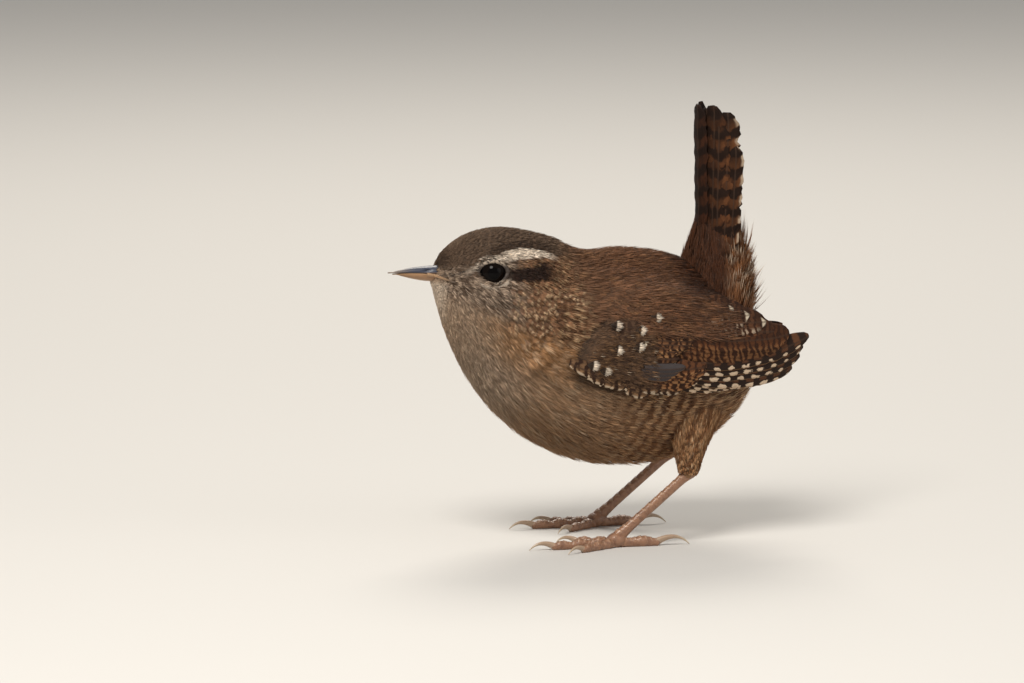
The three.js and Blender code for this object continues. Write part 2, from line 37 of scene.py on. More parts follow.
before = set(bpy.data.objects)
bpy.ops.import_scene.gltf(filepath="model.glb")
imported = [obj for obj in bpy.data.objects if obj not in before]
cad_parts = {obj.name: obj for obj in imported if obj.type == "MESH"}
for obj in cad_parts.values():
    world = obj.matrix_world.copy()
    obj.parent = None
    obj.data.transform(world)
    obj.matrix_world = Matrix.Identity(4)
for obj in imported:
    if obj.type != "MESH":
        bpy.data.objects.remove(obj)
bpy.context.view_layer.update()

import math

import bpy
import numpy as np
from bpy.props import FloatProperty, FloatVectorProperty, IntProperty, PointerProperty
from mathutils import Vector

# The bird's own frame is in millimetres: it faces -X, its left side is towards -Y and it stands on z = 0.
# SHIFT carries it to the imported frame, read from the place of the right eye.
MM = 0.001
EYE = np.array([-22.0, 6.75, 52.1])
EYE_RADIUS = 2.6
EYE_TURN = 0.16  # how far the eyes look forwards, in radians
eye_low, eye_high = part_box("eye_right")
SHIFT = np.array([(eye_low.x + eye_high.x) / 2 / MM - EYE[0], 0.0, 0.0])
SIDES = {"left": -1, "right": 1}
UP = np.array([0.0, 0.0, 1.0])
SEED = 7

# Body stations from the bill to the vent: top and bottom points in the mid-plane, half width, pear shape
STATIONS = [
    ((-30.9, 53.2), (-32.4, 49.7), 1.9, 0),
    ((-29.5, 55.6), (-31.7, 47.9), 4.0, 0),
    ((-27.0, 57.7), (-31.2, 45.9), 5.9, 0.02),
    ((-23.2, 59.3), (-30.6, 43.8), 7.5, 0.04),
    ((-18.4, 59.8), (-29.7, 40.8), 8.8, 0.06),
    ((-13.0, 58.9), (-28.3, 37.3), 9.7, 0.1),
    ((-8.2, 57.5), (-26.0, 32.6), 10.8, 0.16),
    ((-4.6, 55.6), (-22.8, 27.6), 12.4, 0.18),
    ((-1.0, 54.9), (-18.4, 22.8), 13.9, 0.14),
    ((3.6, 55.2), (-12.4, 18.4), 15.0, 0.1),
    ((8.4, 54.8), (-4.8, 15.2), 15.5, 0.06),
    ((12.8, 54.0), (3.5, 14.1), 15.4, 0.03),
    ((16.8, 52.6), (11.3, 14.4), 14.7, 0),
    ((20.5, 50.4), (18.5, 16.8), 13.3, 0),
    ((24.0, 47.4), (24.6, 21.2), 11.2, 0),
    ((27.2, 43.4), (28.6, 26.2), 8.0, 0),
    ((29.5, 39.2), (30.4, 31.2), 4.2, 0),
    ((30.6, 36.6), (30.9, 34.4), 1.1, 0),
]
LAST = len(STATIONS) - 1

# Rump under the tail: middle in the side view, half length, half width
RUMP = [
    ((20.6, 37.0), 6.6, 7.4), ((22.4, 43.0), 6.8, 7.2), ((22.9, 50.5), 6.3, 6.6),
    ((22.9, 55.0), 4.9, 5.6), ((22.7, 60.5), 2.7, 3.6),
]

# Feet: x and distance from the mid-plane of the ball, and the ankle's place
FEET = {
    "left": {"ball": (0.6, 12.0), "ankle": (15.4, 11.0, 13.6)},
    "right": {"ball": (3.4, 12.0), "ankle": (17.8, 11.0, 14.0)},
}
BALL_Z = 1.6
# Thigh rings from the ankle: back, inward, up, half depth, half width
THIGH = [(1.6, 3.2, 12.6, 6.2, 4.4), (0.6, 1.6, 8.2, 4.6, 3.6), (-0.2, 0.4, 3.6, 3.0, 2.5),
         (-0.5, 0, 0.4, 2.2, 1.9), (-1.0, 0, -1.2, 1.5, 1.35)]
TOES = {
    "inner": {"turn": -0.66, "length": 8.4, "radius": 0.82, "claw": 3.9, "joints": 3},
    "middle": {"turn": 0.03, "length": 12.6, "radius": 0.88, "claw": 4.6, "joints": 4},
    "outer": {"turn": 0.56, "length": 9.4, "radius": 0.8, "claw": 4.0, "joints": 4},
    "hind": {"turn": math.pi - 0.06, "length": 8.2, "radius": 0.95, "claw": 6.2, "joints": 2},
}

# Bill: heights of ridge, mouth and chin at its base, and how its lines run to the tip
BILL_BASE_X = -32.2
BILL_BASE_SLOPE = 0.43
BILL_TIP = (-40.4, 51.5)
CULMEN_Z, MOUTH_Z, CHIN_Z = 52.75, 51.2, 49.8
BILL_HALF_WIDTH = 1.75
BILL_LOWER_SHORTER = 0.9
MOUTH_ARCH = 0.3
MOUTH_GAP = 0.16

# Tail: the foot in the side view, the arch's radius at root and tip, lengths from the middle outwards
TAIL_ROOT = (19.6, 46.0)
TAIL_ARCH = (5.8, 7.4)
TAIL_LENGTHS = (35.6, 35.3, 35.5, 33.8, 34.4, 27.8)
TAIL_FIRST, TAIL_STEP = 0.13, 0.235  # angles round the arch


def mix(a, b, t):
    """The value a share t of the way from a to b."""
    return a + (b - a) * t


def turns(count):
    """Angles spread evenly round a circle."""
    return np.linspace(0, 2 * math.pi, count, endpoint=False)


def smooth(low, high, x):
    """0 below low, 1 above high and a soft step between."""
    t = np.clip((x - low) / (high - low), 0, 1)
    return t * t * (3 - 2 * t)


def unit(v):
    """Vectors of length one."""
    return v / np.maximum(np.linalg.norm(v, axis=-1, keepdims=True), 1e-9)


def through(places, t):
    """Smooth curve through named places; t runs evenly from 0 at the first to 1 at the last."""
    places = np.asarray(places, float)
    last = len(places) - 1
    place = np.clip(np.asarray(t, float), 0, 1) * last
    i = np.minimum(place.astype(int), last - 1)
    u = (place - i)[..., None]
    padded = np.concatenate([2 * places[:1] - places[1:2], places, 2 * places[-1:] - places[-2:-1]])
    a, b, c, d = (padded[i + k] for k in range(4))
    ta, tb = (c - a) / 2, (d - b) / 2
    return b + u * (ta + u * ((-3 * b + 3 * c - 2 * ta - tb) + u * (2 * b - 2 * c + ta + tb)))


class Tube:
    """A rounded form through oval rings. Each ring has a middle, two half axes and a pear shape."""

    def __init__(self, middles, ups, sides, pears=None):
        pears = np.zeros((len(middles), 1)) if pears is None else np.array(pears, float)[:, None]
        rows = [np.array(part, float) for part in (middles, ups, sides)]
        self.rows = np.concatenate([*rows, pears], 1)
        self.last = len(middles) - 1

    def point(self, s, angle):
        """The place at a station and an angle; angle 0 is the back."""
        row = through(self.rows, s / self.last)
        cosine, sine = np.cos(angle)[..., None], np.sin(angle)[..., None]
        return row[..., :3] + row[..., 3:6] * cosine + row[..., 6:9] * sine * (1 - row[..., 9:] * cosine)

    def slopes(self, s, angle):
        """How the place moves for each step of station and of angle."""
        e = 0.02
        after, before = np.minimum(s + e, self.last), np.maximum(s - e, 0)
        ahead = (self.point(after, angle) - self.point(before, angle)) / (after - before)[..., None]
        around = (self.point(s, angle + e) - self.point(s, angle - e)) / (2 * e)
        return ahead, around

    def normal(self, s, angle):
        ahead, around = self.slopes(s, angle)
        return unit(np.cross(ahead, around))

    def walk(self, root, along, across):
        """Places on the surface at distances along its lie and across it, from each root."""
        s, angle = (np.asarray(v, float)[(...,) + (None,) * (along.ndim - 1)] for v in root)
        ahead, around = self.slopes(s, angle)
        stretch = np.maximum(np.linalg.norm(ahead, axis=-1), 0.6)
        girth = np.maximum(np.linalg.norm(around, axis=-1), 1.2)
        far = s + along / stretch
        kept = np.clip(far, 0, self.last)
        turned = angle + across / girth
        place = self.point(kept, turned)
        over = (far - kept)[..., None]
        place = place + over * ahead
        return place, self.normal(kept, turned)


def body_tube():
    """Head, neck and body as one form."""
    top = np.array([[s[0][0], 0, s[0][1]] for s in STATIONS])
    bottom = np.array([[s[1][0], 0, s[1][1]] for s in STATIONS])
    sides = [[0, s[2], 0] for s in STATIONS]
    return Tube((top + bottom) / 2, (top - bottom) / 2, sides, [s[3] for s in STATIONS])


def rump_tube():
    """The foot of the tail, upright behind the body."""
    return Tube(
        [[r[0][0], 0, r[0][1]] for r in RUMP],
        [[-r[1], 0, 0] for r in RUMP],
        [[0, r[2], 0] for r in RUMP],
    )


def thigh_tube(side):
    """One feathered thigh, from the belly down to the ankle."""
    sign, (x, y, z) = SIDES[side], FEET[side]["ankle"]
    middles = np.array([[x + back, sign * (y - inward), z + up] for back, inward, up, _, _ in THIGH])
    ahead = unit(np.gradient(middles, axis=0))
    aside = unit(np.cross(ahead, [1.0, 0.0, 0.0]))
    front = np.cross(aside, ahead)
    front = unit(front * np.where(front[:, :1] > 0, -1, 1))
    half_x = np.array([[t[3]] for t in THIGH])
    half_y = np.array([[t[4]] for t in THIGH])
    across = np.cross(front, ahead)
    return Tube(middles, front * half_x, across * half_y)


BODY = body_tube()


class Forward:
    """A tube walked towards the bill instead of away from it."""

    def __init__(self, tube):
        self.tube = tube

    def walk(self, root, along, across):
        return self.tube.walk(root, -along, across)


class Sheet:
    """What the folded wing lies on: the flank, carried on past the body in a long curve."""

    LOW, HIGH, STEP = (-14.0, 22.0), (46.0, 58.0), 0.5
    HALVINGS = 24

    def __init__(self):
        xs = np.arange(self.LOW[0], self.HIGH[0] + 1e-6, self.STEP)
        zs = np.arange(self.LOW[1], self.HIGH[1] + 1e-6, self.STEP)
        x, z = np.meshgrid(xs, zs, indexing="ij")
        self.y = self.depth(x, z)
        self.slope_x, self.slope_z = np.gradient(self.y, self.STEP)

    def flank(self, x, z):
        """The body's half width at a place of the side view, found by halving; -1 off the body."""
        low, high = np.zeros_like(x), np.full_like(x, BODY.last)
        for _ in range(self.HALVINGS):
            middle = (low + high) / 2
            row = through(BODY.rows, middle / BODY.last)
            up = unit(row[..., 3:6])
            ahead = (x - row[..., 0]) * up[..., 2] - (z - row[..., 2]) * up[..., 0]
            low, high = np.where(ahead > 0, middle, low), np.where(ahead > 0, high, middle)
        row = through(BODY.rows, low / BODY.last)
        tall = np.linalg.norm(row[..., 3:6], axis=-1)
        up = unit(row[..., 3:6])
        cosine = ((x - row[..., 0]) * up[..., 0] + (z - row[..., 2]) * up[..., 2]) / tall
        inside = np.sqrt(np.maximum(1 - cosine**2, 0))
        return np.where(np.abs(cosine) < 1, row[..., 7] * inside * (1 - row[..., 9] * cosine), -1.0)

    def depth(self, x, z):
        """The greater of the flank and a long arch, with a soft seam between them."""
        chord = 15.3 - 0.0083 * (x - 6) ** 2 - 0.03 * (z - 33) ** 2
        body = self.flank(x, z)
        blend = 1.2
        share = np.maximum(blend - np.abs(chord - body), 0) / blend
        return np.maximum(chord, body) + share**2 * blend / 4

    def read(self, grid, x, z):
        """A value between the points of a grid."""
        u = np.clip((x - self.LOW[0]) / self.STEP, 0, grid.shape[0] - 1.001)
        v = np.clip((z - self.LOW[1]) / self.STEP, 0, grid.shape[1] - 1.001)
        i, j = u.astype(int), v.astype(int)
        a, b = u - i, v - j
        near = mix(grid[i, j], grid[i, j + 1], b)
        return mix(near, mix(grid[i + 1, j], grid[i + 1, j + 1], b), a)

    def place(self, x, z, side):
        """Place and outward direction on one side of the bird."""
        y = self.read(self.y, x, z)
        slopes = [-self.read(grid, x, z) for grid in (self.slope_x, self.slope_z)]
        normal = unit(np.stack([slopes[0], np.ones_like(x), slopes[1]], -1))
        turn = np.array([1, SIDES[side], 1])
        return np.stack([x, y, z], -1) * turn, normal * turn


SHEET = Sheet()


class SheetLie:
    """The wing's sheet on one side, walked along a lie that points back and a little down."""

    def __init__(self, side, dip):
        self.side, self.dip = side, dip

    def walk(self, root, along, across):
        x, z = (np.asarray(v, float)[(...,) + (None,) * (along.ndim - 1)] for v in root)
        c, s = math.cos(self.dip), math.sin(self.dip)
        px, pz = x + along * c + across * s, z - along * s + across * c
        return SHEET.place(px, pz, self.side)


# Settings: the sizes and colours that a user would change


def colour_property(name, description, default):
    """A linear colour that a user may change."""
    return FloatVectorProperty(
        name=name, description=description, default=default, subtype="COLOR", min=0.0, max=1.0
    )


class WrenPlumage(bpy.types.PropertyGroup):
    """Sizes of the small feathers"""

    density: FloatProperty(
        name="Density", description="Closeness of the small feathers", default=1.0, min=0.3, max=1.5
    )
    body_feather: FloatProperty(
        name="Body feather", description="Length of a feather of the back and breast",
        default=0.0056, unit="LENGTH", precision=4,
    )
    seed: IntProperty(name="Seed", description="Seed of every random draw", default=SEED)


class WrenColours(bpy.types.PropertyGroup):
    """Colours of the plumage and the bare parts"""

    crown: colour_property("Crown", "Top of the head and nape", (0.165, 0.108, 0.072))
    crown_dark: colour_property("Crown streaks", "Dark streaks of the crown", (0.06, 0.036, 0.023))
    mantle: colour_property("Mantle", "Back between the wings", (0.215, 0.1, 0.05))
    mantle_dark: colour_property("Mantle bars", "Faint bars of the back", (0.062, 0.026, 0.013))
    brow: colour_property("Eyebrow", "Pale stripe over the eye", (0.92, 0.79, 0.65))
    stripe: colour_property("Eye stripe", "Dark stripe behind the eye", (0.025, 0.012, 0.008))
    cheek: colour_property("Cheek", "Buff of the cheek", (0.485, 0.365, 0.27))
    cheek_dark: colour_property("Cheek marks", "Dark marks of the cheek", (0.055, 0.03, 0.018))
    throat: colour_property("Throat", "Throat and front of the breast", (0.44, 0.315, 0.22))
    breast: colour_property("Breast", "Sides of the breast", (0.45, 0.235, 0.1))
    belly: colour_property("Belly", "Belly between the legs", (0.32, 0.185, 0.098))
    flank: colour_property("Flank", "Flank under the wing", (0.36, 0.165, 0.068))
    flank_bar: colour_property("Flank bars", "Dark bars of flank and vent", (0.045, 0.018, 0.008))
    rump: colour_property("Rump", "Rump in front of the tail", (0.062, 0.02, 0.0065))
    buff: colour_property("Buff edges", "Buff edges of feathers", (0.42, 0.225, 0.1))
    pale: colour_property("Pale tips", "Whitish tips of feathers", (0.68, 0.58, 0.44))
    # dark horn with a blue tint that is a painted reflection of the sky
    bill_upper: colour_property("Upper bill", "Base of the upper bill", (0.045, 0.052, 0.08))
    bill_lower: colour_property("Lower bill", "Base of the lower bill", (0.33, 0.19, 0.105))
    leg: colour_property("Leg", "Scaled skin of shanks and toes", (0.285, 0.142, 0.078))
    claw: colour_property("Claw", "Horn of the claws", (0.36, 0.25, 0.17))


class WrenStage(bpy.types.PropertyGroup):
    """Where the camera stands and the floor's colour"""

    azimuth: FloatProperty(
        name="Azimuth", description="Camera's turn round the bird", default=math.radians(-15),
        subtype="ANGLE",
    )
    elevation: FloatProperty(
        name="Elevation", description="Camera's height angle", default=math.radians(8), subtype="ANGLE"
    )
    lens: FloatProperty(name="Lens", description="Focal length", default=300.0, unit="CAMERA")
    floor: colour_property("Floor", "Colour of the floor", (0.62, 0.61, 0.59))


def settings():
    """Plumage, colours and stage, as they are set now."""
    scene = bpy.context.scene
    return scene.wren_plumage, scene.wren_colours, scene.wren_stage


def draws(step):
    """One operator's random draws, the same each time for the same seed."""
    return np.random.default_rng(bpy.context.scene.wren_plumage.seed + step)


# Meshes from arrays


def new_mesh(name, points, triangles, material, floats=None, vectors=None, patches=None):
    """A mesh object from arrays in the bird's millimetres. Patches are the points' OFBake places."""
    mesh = bpy.data.meshes.new(name)
    points = (np.asarray(points, float) + SHIFT) * MM
    triangles = np.asarray(triangles, np.int32)
    corners = triangles.shape[1]
    mesh.vertices.add(len(points))
    mesh.vertices.foreach_set("co", points.astype(np.float32).ravel())
    mesh.loops.add(triangles.size)
    mesh.loops.foreach_set("vertex_index", triangles.ravel())
    mesh.polygons.add(len(triangles))
    mesh.polygons.foreach_set("loop_start", np.arange(0, triangles.size, corners, dtype=np.int32))
    mesh.update(calc_edges=True)
    for key, values in (floats or {}).items():
        layer = mesh.attributes.new(key, "FLOAT", "POINT")
        layer.data.foreach_set("value", np.asarray(values, np.float32).ravel())
    for key, values in (vectors or {}).items():
        layer = mesh.attributes.new(key, "FLOAT_VECTOR", "POINT")
        layer.data.foreach_set("vector", np.asarray(values, np.float32).ravel())
    if patches is not None:
        layer = mesh.uv_layers.new(name="OFBake")
        layer.data.foreach_set("uv", np.asarray(patches, np.float32)[triangles.ravel()].ravel())
    mesh.polygons.foreach_set("use_smooth", np.full(len(triangles), True))
    mesh.materials.append(material)
    obj = bpy.data.objects.new(name, mesh)
    bpy.context.scene.collection.objects.link(obj)
    return obj


def place_piece(obj, slot, *nodes):
    """Every piece rides on the one body. It may stand for CAD nodes."""
    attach(obj, "root")
    if nodes:
        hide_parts(*nodes)


def ring_faces(rings, around):
    """Triangles of a tube of rings. The two points after the rings close its ends."""
    r, i = np.meshgrid(np.arange(rings - 1), np.arange(around), indexing="ij")
    a = r * around + i
    b = r * around + (i + 1) % around
    first = np.arange(around)
    following = (first + 1) % around
    last, middle = (rings - 1) * around, rings * around
    faces = (
        (a, b, b + around),
        (a, b + around, a + around),
        (following, first, np.full(around, middle)),
        (last + first, last + following, np.full(around, middle + 1)),
    )
    return np.concatenate([np.stack(face, -1).reshape(-1, 3) for face in faces])


def tube_mesh(rings):
    """Points and outward triangles of rings of places, shape (rings, around, 3)."""
    count, around = rings.shape[:2]
    points = np.concatenate([rings.reshape(-1, 3), rings[0].mean(0)[None], rings[-1].mean(0)[None]])
    faces = ring_faces(count, around)
    a, b, c = (points[faces[:, k]] for k in range(3))
    volume = np.einsum("ij,ij->i", a, np.cross(b, c)).sum()
    return points, faces if volume > 0 else faces[:, ::-1]


def joined(parts):
    """Several (points, triangles, extra arrays) as one set of arrays."""
    points, faces, extras, base = [], [], [], 0
    for part in parts:
        points.append(part[0])
        faces.append(part[1] + base)
        extras.append(part[2:])
        base += len(part[0])
    return (np.concatenate(points), np.concatenate(faces), *(np.concatenate(e) for e in zip(*extras)))


# Plumage: tufts of barbs

# What a tuft's third mark says: plain plumage is 0, and these are the feathers that differ from it
SHOULDER_KIND, SCALE_KIND, DROP_KIND = 1.0, 3.0, 4.0


class Coat:
    """Gathers tufts of small feathers and makes them into pieces under the triangle limit."""

    def __init__(self, rng):
        self.rng = rng
        self.parts = []

    def add(
        self, surface, root, length, width, depth, lift, barbs, unwrap,
        kind=0.0, barb=0.24, droop=0.0, loose=0.34,
    ):
        """Tufts at roots. Sizes are millimetres, and single numbers or arrays with one for each tuft."""
        rng, n = self.rng, len(root[0])
        if n == 0:
            return
        sizes = (length, width, depth, lift, kind, barb, droop)
        length, width, depth, lift, kind, barb, droop = (
            np.broadcast_to(np.asarray(size, float), (n,))[:, None] for size in sizes
        )
        q = np.linspace(-1, 1, barbs)[None] + rng.uniform(-0.5, 0.5, (n, barbs)) / barbs
        start = length * (0.1 + 0.25 * (1 - np.abs(q)) * rng.uniform(0.3, 1, (n, barbs)))
        end = length * (1 - 0.26 * q**2 + rng.uniform(-loose, 0.08, (n, barbs)))
        yaw = rng.normal(0, 0.07, (n, 1))
        t = np.array([0, 0.55, 1.0])
        along = start[..., None] + (end - start)[..., None] * t
        across = width[..., None] * q[..., None] * t**0.75 * 0.5 + along * yaw[..., None]
        bow = rng.uniform(0.8, 1.25, (n, barbs, 1))
        raised = rng.normal(0, 0.07, (n, barbs, 1)) * length[..., None] * 0.35 * t
        share = along / length[..., None]
        sunk = (1 - np.clip(share, 0, 1)) ** (1.5 * bow)
        curl = 0.12 * np.abs(q)[..., None] * width[..., None] * 0.5
        height = -depth[..., None] * sunk + lift[..., None] * share + raised
        height = height - droop[..., None] * share**3 - curl
        base, normal = surface.walk(root, along, across)
        centre = base + normal * height[..., None]
        ahead = unit(centre[..., 2, :] - centre[..., 0, :])[..., None, :]
        aside = unit(np.cross(normal, ahead))
        over = np.cross(ahead, aside)
        breadth = (barb * rng.uniform(0.75, 1.25, (n, barbs)))[..., None] * np.array([0.6, 1.0])
        left = centre[..., :2, :] - aside[..., :2, :] * breadth[..., None] / 2
        right = centre[..., :2, :] + aside[..., :2, :] * breadth[..., None] / 2
        top = centre[..., :2, :] + over[..., :2, :] * breadth[..., None] * 0.35
        rings = np.stack([left, right, top], -2).reshape(n, barbs, 6, 3)
        points = np.concatenate([rings, centre[..., 2:, :]], 2)
        seen = surface.walk(root, np.broadcast_to(length * 0.75, (n, barbs)), across[..., 2] * 0.7)[0]
        shade = np.broadcast_to(rng.uniform(0, 1, (n, 1)), (n, barbs))
        streak = rng.uniform(0, 1, (n, barbs))
        t_of = np.array([0, 0, 0, 0.55, 0.55, 0.55, 1.0])
        tip = start[..., None] / length[..., None] + ((end - start) / length)[..., None] * t_of
        spread = np.broadcast_to(q[..., None], tip.shape)
        corner = unwrap(root, seen)[:, None, None, :]
        patch = corner + np.stack([(tip - 0.5) * 0.003, spread * 0.0014], -1)
        place = np.broadcast_to(seen[..., None, :], points.shape)
        vane = np.stack([tip, spread, np.broadcast_to(length[..., None], tip.shape)], -1)
        kinds = np.broadcast_to(kind, (n, barbs))
        marks = np.stack([np.broadcast_to(v[..., None], tip.shape) for v in (shade, streak, kinds)], -1)
        self.parts.append([a.reshape(n * barbs, 7, -1) for a in (points, place, vane, marks, patch)])

    # a barb is two three-cornered rings and a tip
    FACES = np.array([
        (0, 1, 4), (0, 4, 3), (1, 2, 5), (1, 5, 4), (2, 0, 3), (2, 3, 5),
        (0, 2, 1), (3, 4, 6), (4, 5, 6), (5, 3, 6),
    ])

    def pieces(self, name, material, slot, limit=19000):
        """Splits what was gathered into pieces, each well under the triangle limit."""
        arrays = [np.concatenate(a) for a in zip(*self.parts)]
        total = len(arrays[0])
        count = max(1, math.ceil(total / limit))
        bounds = np.linspace(0, total, count + 1).astype(int)
        for k in range(count):
            points, place, vane, marks, patch = (a[bounds[k] : bounds[k + 1]] for a in arrays)
            barbs = len(points)
            faces = (self.FACES[None] + 7 * np.arange(barbs)[:, None, None]).reshape(-1, 3)
            obj = new_mesh(
                name if count == 1 else f"{name}_{k + 1}", points.reshape(-1, 3), faces, material,
                vectors={"place": place, "vane": vane, "marks": marks}, patches=patch.reshape(-1, 2),
            )
            place_piece(obj, slot)


def scatter(rng, tube, spacing, s_range=(0, None), keep=None):
    """Rows of jittered roots over a tube; spacing(s, angle) is the distance between neighbours."""
    s, found = float(s_range[0]), []
    end = tube.last if s_range[1] is None else s_range[1]
    parts = 72
    ring = np.linspace(-math.pi, math.pi, parts + 1)
    while s < end:
        ahead, around = tube.slopes(np.full(parts, s), ring[:-1])
        gap = spacing(np.full(parts, s), ring[:-1])
        counts = np.linalg.norm(around, axis=-1) * (2 * math.pi / parts) / gap
        cumulative = np.concatenate([[0], np.cumsum(counts)])
        n = int(round(cumulative[-1]))
        if n > 2:
            at = (np.arange(n) + rng.uniform(0, 1) + rng.uniform(-0.35, 0.35, n)) % n / n * cumulative[-1]
            angle = np.interp(at, cumulative, ring)
            step = gap.mean() / np.linalg.norm(ahead, axis=-1).mean()
            found.append((s + rng.uniform(-0.45, 0.45, n) * step, angle))
        # rows lie closer where the surface is short along its lie
        s += float(np.mean(gap) / np.mean(np.linalg.norm(ahead, axis=-1)))
    s, angle = (np.concatenate(v) for v in zip(*found))
    s = np.clip(s, 0, tube.last - 0.01)
    if keep is not None:
        kept = keep(s, angle)
        s, angle = s[kept], angle[kept]
    return s, angle


# Materials: node trees written as expressions


def arithmetic(operation, swapped=False):
    """A method of Wire that adds one Math node."""

    def add_node(self, *others):
        values = (*others, self) if swapped else (self, *others)
        return self.graph.node("ShaderNodeMath", {"operation": operation}, dict(enumerate(values)))

    return add_node


class Wire:
    """A socket that Python arithmetic works on."""

    def __init__(self, graph, socket):
        self.graph, self.socket = graph, socket

    __add__ = __radd__ = arithmetic("ADD")
    __sub__ = arithmetic("SUBTRACT")
    __rsub__ = arithmetic("SUBTRACT", swapped=True)
    __mul__ = __rmul__ = arithmetic("MULTIPLY")
    __truediv__ = arithmetic("DIVIDE")
    __pow__ = arithmetic("POWER")
    __abs__ = arithmetic("ABSOLUTE")
    sin = arithmetic("SINE")
    root = arithmetic("SQRT")
    part = arithmetic("FRACT")
    most = arithmetic("MAXIMUM")
    least = arithmetic("MINIMUM")

    def ramp(self, low, high):
        """0 below low and 1 above high, smooth between; low may be above high."""
        flip = low > high
        if flip:
            low, high = high, low
        ends = (1.0, 0.0) if flip else (0.0, 1.0)
        return self.graph.node(
            "ShaderNodeMapRange", {"interpolation_type": "SMOOTHSTEP"},
            {"Value": self, "From Min": low, "From Max": high, "To Min": ends[0], "To Max": ends[1]},
        )

    def band(self, centre, half, soft):
        """1 within half of centre, falling off over soft."""
        return abs(self - centre).ramp(half + soft, half)


class Tree:
    """A node tree written as calls and arithmetic."""

    def __init__(self, tree):
        self.tree = tree

    def node(self, kind, settings=None, inputs=None, out=0):
        """Any node: its type, its settings, which are set first, and the values or links of its sockets."""
        made = self.tree.nodes.new(kind)
        for key, value in (settings or {}).items():
            setattr(made, key, value)
        for key, value in (inputs or {}).items():
            self.put(made.inputs[key], value)
        return Wire(self, made.outputs[out])

    def put(self, socket, value):
        """Links a wire to a socket, or sets its value."""
        if isinstance(value, Wire):
            self.tree.links.new(value.socket, socket)
        elif value is not None:
            socket.default_value = value

    def value(self, number):
        if isinstance(number, Wire):
            return number
        made = self.node("ShaderNodeValue")
        made.socket.default_value = number
        return made


def rgba(colour):
    """A colour as a socket takes it."""
    return colour if isinstance(colour, Wire) else (*colour, 1.0)


class Graph(Tree):
    """One material's nodes."""

    def __init__(self, name):
        self.material = bpy.data.materials.new(name)
        self.material.use_nodes = True
        super().__init__(self.material.node_tree)
        self.shader = self.tree.nodes["Principled BSDF"]

    def attribute(self, name):
        """The three numbers of a vector attribute."""
        return self.split(self.node("ShaderNodeAttribute", {"attribute_name": name}, out="Vector"))

    def number(self, name):
        """A number attribute."""
        return self.node("ShaderNodeAttribute", {"attribute_name": name}, out="Fac")

    def object_place(self):
        """Object coordinates in the bird's own millimetres."""
        made = self.node("ShaderNodeTexCoord", out="Object")
        moved = {"Vector": made, "Location": tuple(-SHIFT), "Scale": (1 / MM,) * 3}
        return self.node("ShaderNodeMapping", {"vector_type": "POINT"}, moved)

    def split(self, wire):
        made = self.node("ShaderNodeSeparateXYZ", inputs={0: wire}).socket.node
        return [Wire(self, made.outputs[k]) for k in range(3)]

    def vector(self, x, y, z):
        return self.node("ShaderNodeCombineXYZ", inputs={0: x, 1: y, 2: z})

    def noise(self, vector, scale, detail=2.0, roughness=0.5):
        sizes = {"Scale": scale, "Detail": detail, "Roughness": roughness}
        return self.node("ShaderNodeTexNoise", inputs={"Vector": vector, **sizes})

    def blend(self, factor, a, b, mode="MIX"):
        """Colour b over colour a."""
        kind = {"data_type": "RGBA", "blend_type": mode, "clamp_factor": True}
        return self.node("ShaderNodeMix", kind, {0: factor, 6: rgba(a), 7: rgba(b)}, out=2)

    def dim(self, colour, tone):
        """The colour times a grey."""
        return self.blend(1.0, colour, self.vector(tone, tone, tone), "MULTIPLY")

    def paint(self, start, *layers):
        """Layers of (mask, colour) over a start colour."""
        colour = start
        for mask, layer in layers:
            colour = self.blend(mask, colour, layer)
        return colour

    def finish(self, colour, roughness, height=None, bump=0.0, reach=0.0005, **constants):
        """Feed the shader. Constants are its other inputs, with _ for a space."""
        shader = self.shader
        self.put(shader.inputs["Base Color"], rgba(colour))
        self.put(shader.inputs["Roughness"], roughness)
        for key, value in constants.items():
            shader.inputs[key.replace("_", " ")].default_value = value
        if height is not None:
            normal = self.node(
                "ShaderNodeBump", inputs={"Height": height, "Strength": bump, "Distance": reach}
            )
            self.put(shader.inputs["Normal"], normal)
        return self.material


# Markings: places are millimetres in the bird's frame, and ramp(a, b) turns from 0 at a to 1 at b


class Feathering:
    """One place of the plumage as wires: where it is, and how the feathers vary there."""

    def __init__(self, graph, x, y, z, along, shade, streak, spot):
        self.x, self.z, self.out = x, z, abs(y)
        self.shade, self.streak, self.spot = shade, streak, spot
        self.tip = along.ramp(0.55, 0.95)
        self.ragged = 0.82 + 0.18 * streak.ramp(0.15, 0.5)
        place = graph.vector(x, y, z)
        self.fine = graph.noise(place, 0.55, 3.0)
        self.curly = graph.noise(place, 1.25, 2.0, 0.6)
        self.wave = graph.noise(graph.vector(x * 0.6, y, z), 0.9, 2.0)
        self.wander = (self.fine - 0.5) * 2.4


